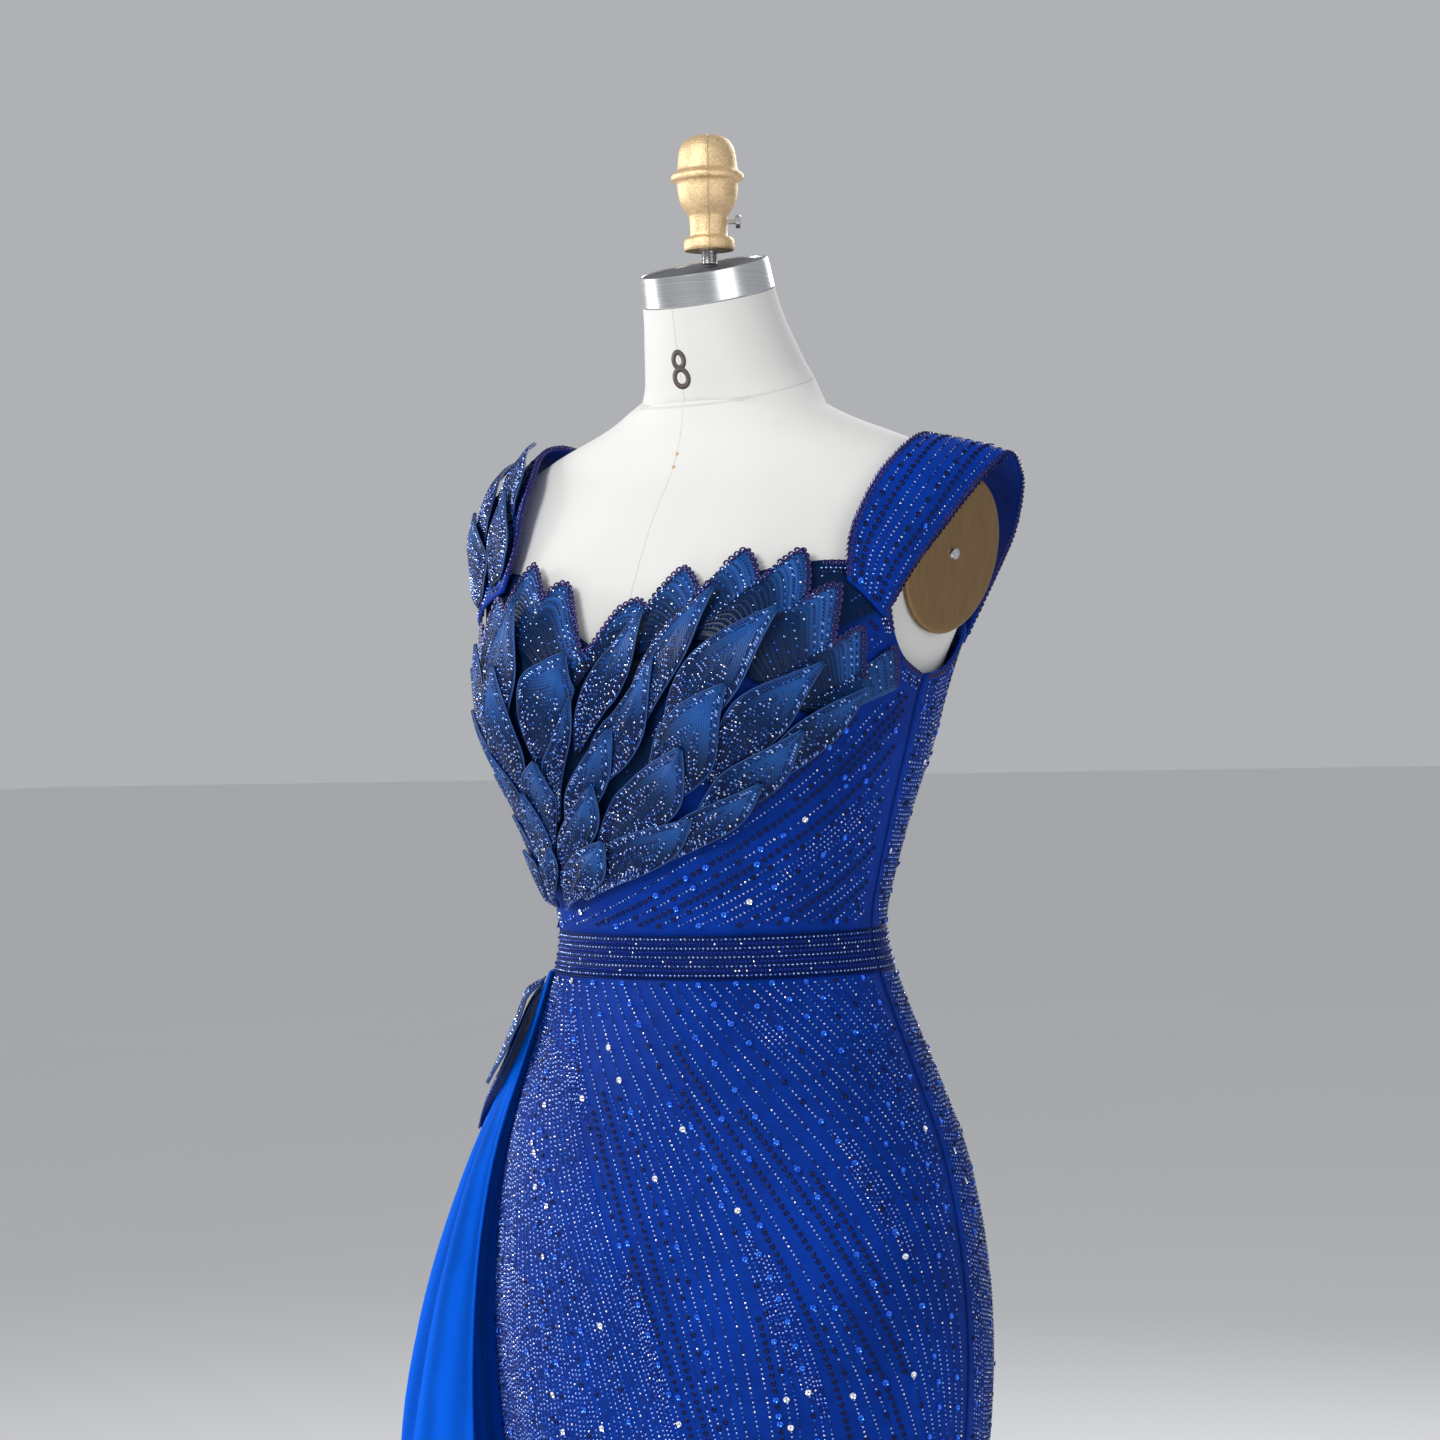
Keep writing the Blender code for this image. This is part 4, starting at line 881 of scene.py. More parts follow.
def cast_finish(colour):
    """Sandy gold paint over a casting, with the mould's seam up two sides."""
    finish = Finish("gold_paint", metallic=0.75, coat_roughness=0.4)
    place = finish.places()
    x, y = finish.part(place, 0), finish.part(place, 1)
    grit = finish.noise(900.0, 3.0)
    wear = finish.noise(60.0, 4.0)
    seam = 1 - finish.fade(abs(x * 0.82 + y * 0.57), 0.0002, 0.0008)
    tone = finish.fade(grit * 0.75 + wear * 0.25, 0.36, 0.66)
    finish.put("Base Color", finish.mix(tone, shaded(colour, 0.74), shaded(colour, 1.12)))
    finish.put("Roughness", grit * 0.3 + 0.30)
    return finish.bump(grit + seam * 1.2, 0.0006, 0.8).material


def coated_finish(name, colour, roughness, grit=500.0, metallic=0.0):
    """Paint, ink or thread: a fine grit under soft clouds."""
    finish = Finish(name, metallic=metallic)
    fine, cloud = finish.noise(grit, 3.0), finish.noise(12.0, 4.0)
    tone = finish.fade(fine * 0.5 + cloud * 0.5, 0.35, 0.65)
    finish.put("Base Color", finish.mix(tone, shaded(colour, 0.75), shaded(colour, 1.25, 0.004)))
    finish.put("Roughness", cloud * 0.2 + fine * 0.1 + (roughness - 0.15))
    return finish.bump(fine, 0.00025, 0.5).material


def glass_finish(name, colour, metallic, roughness, coat, gloss):
    """The one shade of a kind of bead: its facets and the light make the rest."""
    finish = Finish(
        name,
        metallic=metallic,
        roughness=roughness,
        coat_weight=coat,
        coat_roughness=0.05,
        specular_ior_level=gloss,
    )
    return finish.put("Base Color", colour).material


# The kinds of bead: colour, or the panel's colour by name, then metallic, roughness, coat and gloss.
GLASS = {
    "silver_bead": ("silver", 0.92, 0.20, 0.15, 0.5),
    "spark_bead": ((0.95, 0.93, 0.97), 1.0, 0.08, 0.6, 0.5),
    "navy_bead": ("navy", 0.30, 0.24, 0.06, 0.25),
    "blue_bead": ((0.008, 0.110, 0.560), 0.6, 0.18, 0.15, 0.5),
    "round_bead": ((0.0005, 0.016, 0.190), 0.50, 0.24, 0.06, 0.15),
    "dark_ring": ((0.0005, 0.004, 0.045), 0.30, 0.30, 0.04, 0.2),
    "plum_ring": ((0.022, 0.018, 0.105), 0.60, 0.24, 0.15, 0.3),
    "blue_cup": ((0.015, 0.130, 0.800), 0.8, 0.14, 0.3, 0.5),
    "white_cup": ((0.90, 0.92, 0.98), 0.9, 0.10, 0.6, 0.5),
}
# The metals, paints and threads: how each is made, and its own values.
HARD_FINISHES = {
    "brushed_steel": (brushed_finish, (0.70, 0.71, 0.72), 0.28),
    "bronze_satin": (brushed_finish, (0.270, 0.170, 0.080), 0.40, (420.0, 420.0, 5.0), 0.8),
    "pin_brass": (brushed_finish, (0.62, 0.36, 0.14), 0.30),
    "dark_plate": (coated_finish, (0.050, 0.055, 0.065), 0.45),
    "black_iron": (coated_finish, (0.030, 0.030, 0.032), 0.50, 420.0, 0.3),
    "numeral_ink": (coated_finish, (0.10, 0.075, 0.060), 0.60),
}
MADE = {}


def cloth_finish(name):
    """The finish of a cloth of the gown or of the form, in the panel's colours."""
    colours = bpy.context.scene.gown_colours
    cloths = (colours.royal, colours.organza, colours.net, colours.linen)
    royal, organza, net, linen = (list(colour) for colour in cloths)
    makers = {
        "royal_satin": lambda: satin_finish(name, royal),
        # The front bodice's satin, with painted shade under the feather fan.
        "backed_satin": lambda: satin_finish(name, royal, 0.5, shaded(organza, 0.45)),
        "beaded_band": lambda: satin_finish(name, shaded(royal, 0.30)),
        "teal_organza": lambda: organza_finish(name, organza),
        "tip_organza": lambda: organza_finish(name, organza, 40.0),
        "piping": lambda: coated_finish(name, shaded(organza, 1.8, 0.006), 0.55, 900.0),
        "cobalt_net": lambda: net_finish(name, net),
        "form_linen": lambda: linen_finish(linen),
        "gold_paint": lambda: cast_finish((0.88, 0.64, 0.36)),
    }
    return makers[name]()


def finish_of(name):
    """The finish of a name, made when it is first asked for."""
    if name in MADE:
        return MADE[name]
    if name in GLASS:
        colour, *values = GLASS[name]
        if isinstance(colour, str):
            colour = list(getattr(bpy.context.scene.gown_colours, colour))
        MADE[name] = glass_finish(name, colour, *values)
    elif name in HARD_FINISHES:
        make, *values = HARD_FINISHES[name]
        MADE[name] = make(name, *values)
    else:
        MADE[name] = cloth_finish(name)
    return MADE[name]


# ---------------------------------------------------------------- beads
def seed_shape(size, stretch=1.0):
    """The half of a bead that stands out of the cloth."""
    points = np.array([(stretch, 0, 0), (-stretch, 0, 0), (0, 1, 0), (0, -1, 0), (0, 0, 1.15)])
    return points * size, np.array([(0, 2, 4), (2, 1, 4), (1, 3, 4), (3, 0, 4)])


def open_round(size, segments, *rows):
    """A round shape with an open middle, from rows of shares of its size: how far out, and how high."""
    turn = np.arange(segments) / segments * 2 * math.pi
    around, up = np.stack([np.cos(turn), np.sin(turn), 0 * turn], 1), np.array((0, 0, 1.0))
    rings = np.stack([around * size * out + up * size * high for out, high in rows], 1)
    i, j = np.meshgrid(np.arange(segments), np.arange(2), indexing="ij")
    following = (i + 1) % segments
    quads = np.stack([i * 3 + j, following * 3 + j, following * 3 + j + 1, i * 3 + j + 1], -1)
    return rings.reshape(-1, 3), quads.reshape(-1, 4)


def ring_shape(size, segments=6):
    """The top of a ring sequin, open in the middle."""
    return open_round(size, segments, (1.0, 0.0), (0.68, 0.32), (0.34, 0.0))


def cup_shape(size):
    """A cupped sequin."""
    points, quads = open_round(size, 9, (0.2, 0.0), (0.62, 0.10), (1.0, 0.42))
    return points, quads[:, ::-1]


class Beads:
    """Beads gathered by kind, then joined into a few meshes."""

    KINDS = {
        "silver": ("silver_bead", "seed"),
        "spark": ("spark_bead", "seed"),
        "navy": ("navy_bead", "seed"),
        "blue": ("blue_bead", "seed"),
        "bugle": ("silver_bead", "bugle"),
        "dark_bugle": ("navy_bead", "bugle"),
        "round": ("round_bead", "round"),
        "tip_ring": ("plum_ring", "tip"),
        "ring": ("dark_ring", "ring"),
        "plum": ("plum_ring", "ring"),
        "blue_cup": ("blue_cup", "cup"),
        "white_cup": ("white_cup", "cup"),
    }

    def __init__(self, seed):
        self.random = np.random.default_rng(seed)
        self.found = {kind: [] for kind in self.KINDS}

    def add(self, kinds, points, ahead, normals):
        kinds = np.broadcast_to(np.asarray(kinds), (len(points),))
        for kind in set(np.unique(kinds).tolist()) & set(self.KINDS):
            these = kinds == kind
            self.found[kind].append((points[these], ahead[these], normals[these]))

    def shapes(self):
        sizes = bpy.context.scene.gown_sizes
        return {
            "seed": (seed_shape(sizes.seed_radius), 0.0),
            "bugle": (seed_shape(sizes.seed_radius * 0.85, 2.0), 0.0),
            "round": (seed_shape(sizes.round_radius), 0.0),
            "ring": (ring_shape(sizes.ring_radius), 0.0001),
            "tip": (ring_shape(sizes.ring_radius * 1.15, 8), 0.0001),
            "cup": (cup_shape(sizes.cup_radius), 0.0006),
        }

    def make(self, name, slot="beaded_band"):
        shapes = self.shapes()
        for kind, parts in self.found.items():
            if not parts:
                continue
            finish, shape = self.KINDS[kind]
            (template, faces), lift = shapes[shape]
            points, ahead, normals = (np.vstack(part) for part in zip(*parts))
            per = BEAD_ROOM // (len(faces) * (faces.shape[1] - 2))
            for batch, start in enumerate(range(0, len(points), per)):
                these = slice(start, start + per)
                label = f"{name}_{kind}" + (f"_{batch + 1}" if len(points) > per else "")
                raised = points[these] + normals[these] * lift
                finished = finish_of(finish)
                self.join(label, template, faces, raised, ahead[these], normals[these], finished)

    def join(self, name, template, faces, points, ahead, normals, finish):
        count = len(points)
        tip = self.random.normal(0, BEAD_TILT, (count, 2))
        side = unit(np.cross(normals, ahead))
        up = unit(normals + unit(ahead) * tip[:, :1] + side * tip[:, 1:])
        side = unit(np.cross(up, ahead))
        turned_frame = np.stack([np.cross(side, up), side, up], -1)
        placed = points[:, None] + np.einsum("nij,vj->nvi", turned_frame, template)
        joined = faces[None] + (np.arange(count) * len(template))[:, None, None]
        mesh = new_mesh(name, placed.reshape(-1, 3), joined.reshape(-1, faces.shape[1]))
        new_object(name, mesh, finish)


def spaced(path, points, pitch, start=0.5):
    """Values along a path at even distances over its points, and the values a little further on."""
    gone = np.concatenate([[0.0], np.cumsum(np.linalg.norm(np.diff(points, axis=0), axis=1))])
    at = np.arange(pitch * start, gone[-1] - 0.0006, pitch)
    return [np.stack([np.interp(at + more, gone, column) for column in path.T], 1) for more in (0.0, 0.0005)]


def comb(place, heading, spacing, bounds, marks, first):
    """Lines that run by the heading and stay evenly apart: lists of (s, m) rows with their own spacing.

    A new line starts where two lines have drawn apart, and the younger of two ends where they crowd.
    """
    s, live, lines, step = np.sort(first), [], [], marks[1] - marks[0]
    for _ in s:
        live.append(len(lines))
        lines.append({"rows": [], "want": float(spacing(s[:1], marks[0])[0])})
    for m in marks:
        low, high = bounds(m)
        keep = (s > low) & (s < high)
        s, live = s[keep], [line for line, kept in zip(live, keep) if kept]
        for _ in range(3):
            if len(s) < 2:
                break
            ahead = place(s + heading(s, m) * step, m + step) - place(s, m)
            across = np.diff(place(s, m), axis=0)
            way = unit(ahead[:-1] + ahead[1:])
            gap = np.linalg.norm(across - way * dot(across, way)[:, None], axis=1)
            middle = (s[:-1] + s[1:]) / 2
            want = spacing(middle, m)
            crowded = np.flatnonzero(gap < 0.60 * want)
            drop, last = set(), -2
            for i in crowded:
                if i == last + 1 and last in drop:
                    last = i
                    continue
                young = i + 1 if live[i + 1] > live[i] else i
                if young not in drop and i not in drop:
                    drop.add(young)
                last = i
            wide = np.flatnonzero(gap > 1.55 * want)
            new_s = [(middle[i], float(want[i])) for i in wide]
            pairs = [(value, line) for k, (value, line) in enumerate(zip(s, live)) if k not in drop]
            for value, wanted in new_s:
                pairs.append((value, len(lines)))
                lines.append({"rows": [], "want": wanted})
            pairs.sort()
            s, live = np.array([value for value, _ in pairs]), [line for _, line in pairs]
            if not new_s and not drop:
                break
        for edge, at in ((low, 0), (high, -1)):
            wanted = float(spacing(np.array([edge]), m)[0])
            border = place(np.array([edge]), m)
            if len(s) == 0 or np.linalg.norm(border - place(s[at:][:1], m)) > 1.35 * wanted:
                width = np.linalg.norm(place(np.array([edge + 1e-3]), m) - border) / 1e-3
                value = edge + (0.55 * wanted / width) * (1 if at == 0 else -1)
                s = np.insert(s, 0, value) if at == 0 else np.append(s, value)
                live = [len(lines)] + live if at == 0 else live + [len(lines)]
                lines.append({"rows": [], "want": wanted})
        for value, line in zip(s, live):
            lines[line]["rows"].append((value, m))
        s = s + heading(s, m) * step
    return [line for line in lines if len(line["rows"]) > 5]


def in_patch(patches, angle, z):
    """Whether places of the body lie in one of the leaf-shaped patches of close rows."""
    inside = np.zeros(np.broadcast(angle, z).shape, bool)
    for at_angle, at_z, length, width, lean in patches:
        near = (np.abs(angle - at_angle) < 40) & (np.abs(z - at_z) < length)
        if not near.any():
            continue
        aside = (angle - at_angle) * angle_width(at_angle, at_z)
        up, tilt = z - at_z, math.radians(lean)
        along = aside * math.sin(tilt) - up * math.cos(tilt)
        across = aside * math.cos(tilt) + up * math.sin(tilt)
        room = width / 2 * (1 - (2 * along / length) ** 2)
        inside |= near & (np.abs(across) < room)
    return inside


def line_kinds(random, style, count):
    """The beads along one line: bright and dark seeds take turns, with room left beside a sequin."""
    at = np.arange(count)
    if style == "ring":
        return np.where(random.random(count) < 0.05, "blue_cup", "ring")
    bright = random.choice(["silver", "blue", "navy", "spark"], count, p=[0.58, 0.24, 0.14, 0.04])
    seeds = np.where(at % 2 == 0, bright, "round" if style == "close" else "navy")
    if style not in ("mixed", "cups"):
        return seeds
    every = 8 if style == "mixed" else int(random.integers(10, 16))
    cups = random.choice(["blue_cup", "white_cup", "ring"], count, p=[0.42, 0.09, 0.49])
    seeds = np.where((at % every == 1) | (at % every == every - 1), "none", seeds)
    return np.where(at % every == 0, "ring" if style == "mixed" else cups, seeds)


def line_style(number, spacing):
    """What a bead line is strung with: the plainest where the lines run closest."""
    if spacing < CLOSE_LINE:
        return "close"
    if spacing < NEAR_LINE:
        return ("seed", "cups", "seed")[number % 3]
    styles = ("seed", "ring", "mixed", "ring", "cups", "ring", "seed", "mixed", "seed", "cups", "ring")
    return styles[number * 4 % len(styles)]


def string_lines(beads, lines, to_body, covered=None, lift=CLOTH):
    """Strings beads along comb's lines: to_body turns rows of (s, m) into angles and heights."""
    sizes = bpy.context.scene.gown_sizes
    for number, line in enumerate(lines):
        path = np.array(line["rows"])
        points = body_section(*to_body(path).T)
        style = line_style(number, line["want"])
        pitch = {"ring": sizes.ring_pitch, "close": sizes.seed_pitch * 0.95}
        here, there = spaced(path, points, pitch.get(style, sizes.seed_pitch))
        if len(here) < 3:
            continue
        angle, z = to_body(here).T
        point, normal = body_frame(angle, z)
        ahead = body_section(*to_body(there).T) - point
        kinds = line_kinds(beads.random, style, len(here))
        shown = np.ones(len(here), bool) if covered is None else ~covered(angle, z, point)
        shown &= np.linalg.norm(ahead, axis=1) > 1e-6
        if shown.any():
            beads.add(kinds[shown], (point + normal * lift)[shown], ahead[shown], normal[shown])


def string_row(beads, frame_at, path, pitch, kinds, lift=0.0, slant=0.0, shown=None):
    """Strings one row of beads along a path in a surface's own coordinates, each turned by the slant."""
    points, _ = frame_at(*path.T)
    here, there = spaced(path, points, pitch)
    if len(here) < 2:
        return
    point, normal = frame_at(*here.T)
    ahead = unit(frame_at(*there.T)[0] - point)
    if slant:
        lean = math.radians(slant)
        ahead = ahead * math.cos(lean) + np.cross(normal, ahead) * math.sin(lean)
    chosen = np.broadcast_to(kinds(len(here)) if callable(kinds) else kinds, (len(here),))
    if shown:
        chosen = np.where(shown(point), chosen, "none")
    beads.add(chosen, point + normal * lift, ahead, normal)


# ---------------------------------------------------------------- the feather pieces' places
def lifted(lift):
    """A surface's frame at a lift off the body."""

    def at(angle, z):
        point, normal = body_frame(angle, z)
        return point + normal * lift, normal

    return at


def fan_feather(share, reach, length, over, spread):
    """One feather of the fan as a place(across, up)."""
    root = reach - length
    width_step = spread * FEATHER_FILL
    wide = np.linalg.norm(
        body_point(*fan_point(share + 0.02, reach * 0.8)) - body_point(*fan_point(share, reach * 0.8))
    )
    width = min(width_step, FEATHER_WIDEST * 0.02 / float(wide))
    seat = CLOTH + FEATHER_SEAT * (1 + share)

    def place(across, up, more=0.0):
        angle, z = fan_point(share + (across - 0.5) * width * leaf_outline(up), root + (reach - root) * up)
        lift = FEATHER_BASE_LIFT + over + FEATHER_TIP_OUT * up
        return body_point(angle, z, rooted(seat, lift, up) + more)

    return place


def strap_feather(root_along, root_across, tip_along, tip_across, width):
    def place(across, up, more=0.0):
        along = root_along + (tip_along - root_along) * up
        middle = root_across + (tip_across - root_across) * up
        wide = np.linalg.norm(strap_point(-1, along, 1.0) - strap_point(-1, along, 0.0), axis=-1)
        aside = (across - 0.5) * leaf_outline(0.12 + 0.88 * up) * width / wide
        lift = rooted(CLOTH + FEATHER_SEAT, STRAP_FEATHER_LIFT + FEATHER_TIP_OUT * up, up)
        return strap_point(-1, along, middle - aside, lift + more)

    return place


def hip_feather(root_angle, root_z, tip_angle, tip_z, width, step):
    def place(across, up, more=0.0):
        angle, z = root_angle + (tip_angle - root_angle) * up, root_z + (tip_z - root_z) * up
        here = body_section(angle, z)
        ahead = body_section(angle + (tip_angle - root_angle) * 0.01, z + (tip_z - root_z) * 0.01) - here
        around = body_section(angle + 0.5, z) - body_section(angle - 0.5, z)
        rise = body_section(angle, z + 0.001) - body_section(angle, z - 0.001)
        aside = unit(np.cross(ahead, np.cross(around, rise)))
        offset = (across - 0.5) * leaf_outline(up) * width
        angle = angle + offset * dot(aside, unit(around)) / np.linalg.norm(around, axis=-1)
        z = z + offset * aside[..., 2]
        folds = OVERSKIRT.at(z)
        crest = folds["stand_off"] + folds["fold_depth"] + NET
        return body_point(angle, z, rooted(crest + HIP_SEAT, crest + HIP_CLEAR + step * HIP_STEP, up) + more)

    return place


def edge_band(across, up, more=0.0):
    low, low_z = fan_point(across, EDGE_REACH)
    angle, high = fan_point(across, 1.0)
    high = high - EDGE_DIP * np.abs(2 * ((across * EDGE_TIPS) % 1.0) - 1) ** 1.4
    return body_point(low + (angle - low) * up, low_z + (high - low_z) * up, FEATHER_BASE_LIFT + more)


def all_feathers():
    """Every feather piece: its name, its place and what it is sewn to."""
    found, number = [], 0
    for count, first, last, reach, length, over in TIERS:
        for i in range(count):
            number += 1
            share = first + (last - first) * i / (count - 1)
            place = fan_feather(share, reach, length, over, (last - first) / (count - 1))
            found.append((f"feather_{number:02d}", place, "bodice_front"))
    for number, values in enumerate(STRAP_FEATHERS, 1):
        found.append((f"strap_feather_{number}", strap_feather(*values), "strap_right"))
    for number, values in enumerate(HIP_FEATHERS, 1):
        found.append((f"hip_feather_{number}", hip_feather(*values), "side_overskirt"))
    return found


def leaf_frame(place, lift):
    """A feather's frame for beads: share across and share up to points and normals."""

    def at(across, up):
        step = 0.012
        wide = place(across + step, up) - place(across - step, up)
        rise = place(across, up + step) - place(across, up - step)
        return place(across, up, lift), unit(np.cross(wide, rise))

    return at


# ---------------------------------------------------------------- the panel's sizes and colours
class GownSizes(bpy.types.PropertyGroup):
    """The beading's sizes."""

    def length(label, text, default, **more):
        return bpy.props.FloatProperty(
            name=label, description=text, default=default, min=0.0002, precision=5, unit="LENGTH", **more
        )

    seed_radius: length("Seed bead", "Radius of a seed bead", 0.00085)
    seed_pitch: length("Seed pitch", "From one seed bead to the next on a thread", 0.0016)
    round_radius: length("Round bead", "Radius of a larger dark bead", 0.00135)
    round_pitch: length("Round pitch", "From one larger bead to the next", 0.0026)
    ring_radius: length("Ring sequin", "Radius of a ring sequin", 0.0022)
    ring_pitch: length("Ring pitch", "From one ring sequin to the next", 0.0054)
    cup_radius: length("Cup sequin", "Radius of a cup sequin", 0.0022)
    line_gap: length("Line spacing", "Between the bead lines of the skirt", 0.0076)
    close_gap: length("Close spacing", "Between the lines of the close field by the hip", 0.0040)
    patch_gap: length("Patch spacing", "Between the rows of a leaf-shaped patch", 0.0028)
    feather_pitch: length("Feather pitch", "From bead to bead on the feather pieces", 0.0018)


class GownColours(bpy.types.PropertyGroup):
    """The cloths' and the beads' colours."""

    def colour(label, text, default):
        return bpy.props.FloatVectorProperty(
            name=label, description=text, default=default, size=3, min=0.0, max=1.0, subtype="COLOR"
        )

    royal: colour("Satin", "The gown's satin", (0.0000, 0.029, 0.275))
    organza: colour("Organza", "The feather pieces", (0.0003, 0.025, 0.108))
    net: colour("Net", "The side overskirt", (0.0010, 0.088, 0.580))
    linen: colour("Linen", "The dress form's cover", (0.715, 0.708, 0.680))
    silver: colour("Silver beads", "Silver-lined seed beads", (0.250, 0.390, 0.840))
    navy: colour("Navy beads", "Dark seed beads", (0.001, 0.007, 0.070))


class GownStage(bpy.types.PropertyGroup):
    """The studio."""

    light: bpy.props.FloatProperty(
        name="Light", description="Strength of all the lamps together", default=1.0, min=0.0, subtype="FACTOR"
    )
    floor: bpy.props.FloatVectorProperty(
        name="Floor", description="The floor's colour", default=(0.86, 0.86, 0.87), size=3, subtype="COLOR"
    )


# ---------------------------------------------------------------- operators
class GOWN_OT_form(bpy.types.Operator):
    """Covers the dress form and prints its size numeral"""

    bl_idname = "gown.form"
    bl_label = "Dress form"

    def execute(self, context):
        count = 112
        turn = np.arange(count) * 360.0 / count
        stretches = ((FORM_LOW_Z, 0.98, 16), (0.98, 1.36, 48), (1.36, 1.422, 14))
        heights = np.unique(np.concatenate([np.linspace(*stretch) for stretch in stretches]))
        rings = [body_point(turn, np.full(count, z), -form_gap(np.full(count, z))) for z in heights]
        rings += [neck_point(turn, np.full(count, ring)) for ring in np.linspace(0, 5, 21)]
        loft("form_cover", np.array(rings), finish_of("form_linen"), "form_linen", "form_torso", sharp=60)
        self.numeral()
        self.pins()
        return {"FINISHED"}

    def numeral(self):
        turn = np.arange(40) / 40 * 2 * math.pi
        paths, normals = [], []
        for middle, wide, tall in ((0.0063, 0.0043, 0.0050), (-0.0056, 0.0054, 0.0059)):
            across, up = wide * np.sin(turn), middle + tall * np.cos(turn)
            angle, ring = np.degrees(across / 0.0545), 2.05 + up / 0.0138
            paths.append(neck_point(angle, ring, 0.00012))
            normals.append(unit(neck_point(angle, ring, 0.01) - neck_point(angle, ring)))
        ink = finish_of("numeral_ink")
        sweep("size_numeral", paths, normals, 0.0019, 0.00008, ink, closed=True)

    def pins(self):
        for number, z in enumerate((1.3862, 1.3770), 1):
            point, normal = body_frame(0.0, z)
            seat = facing(Vector(point - normal * (float(form_gap(z)) + 0.0006)), normal)
            head = [(0.0, 0.0016), (0.0008, 0.0014), (0.0012, 0.0008), (0.0008, 0.0002)]
            head += [(0.0005, 0.0), (0.0, 0.0)]
            turned(f"neck_pin_{number}", rounded(head, 1), seat, 12, finish_of("pin_brass"), "gold_paint")


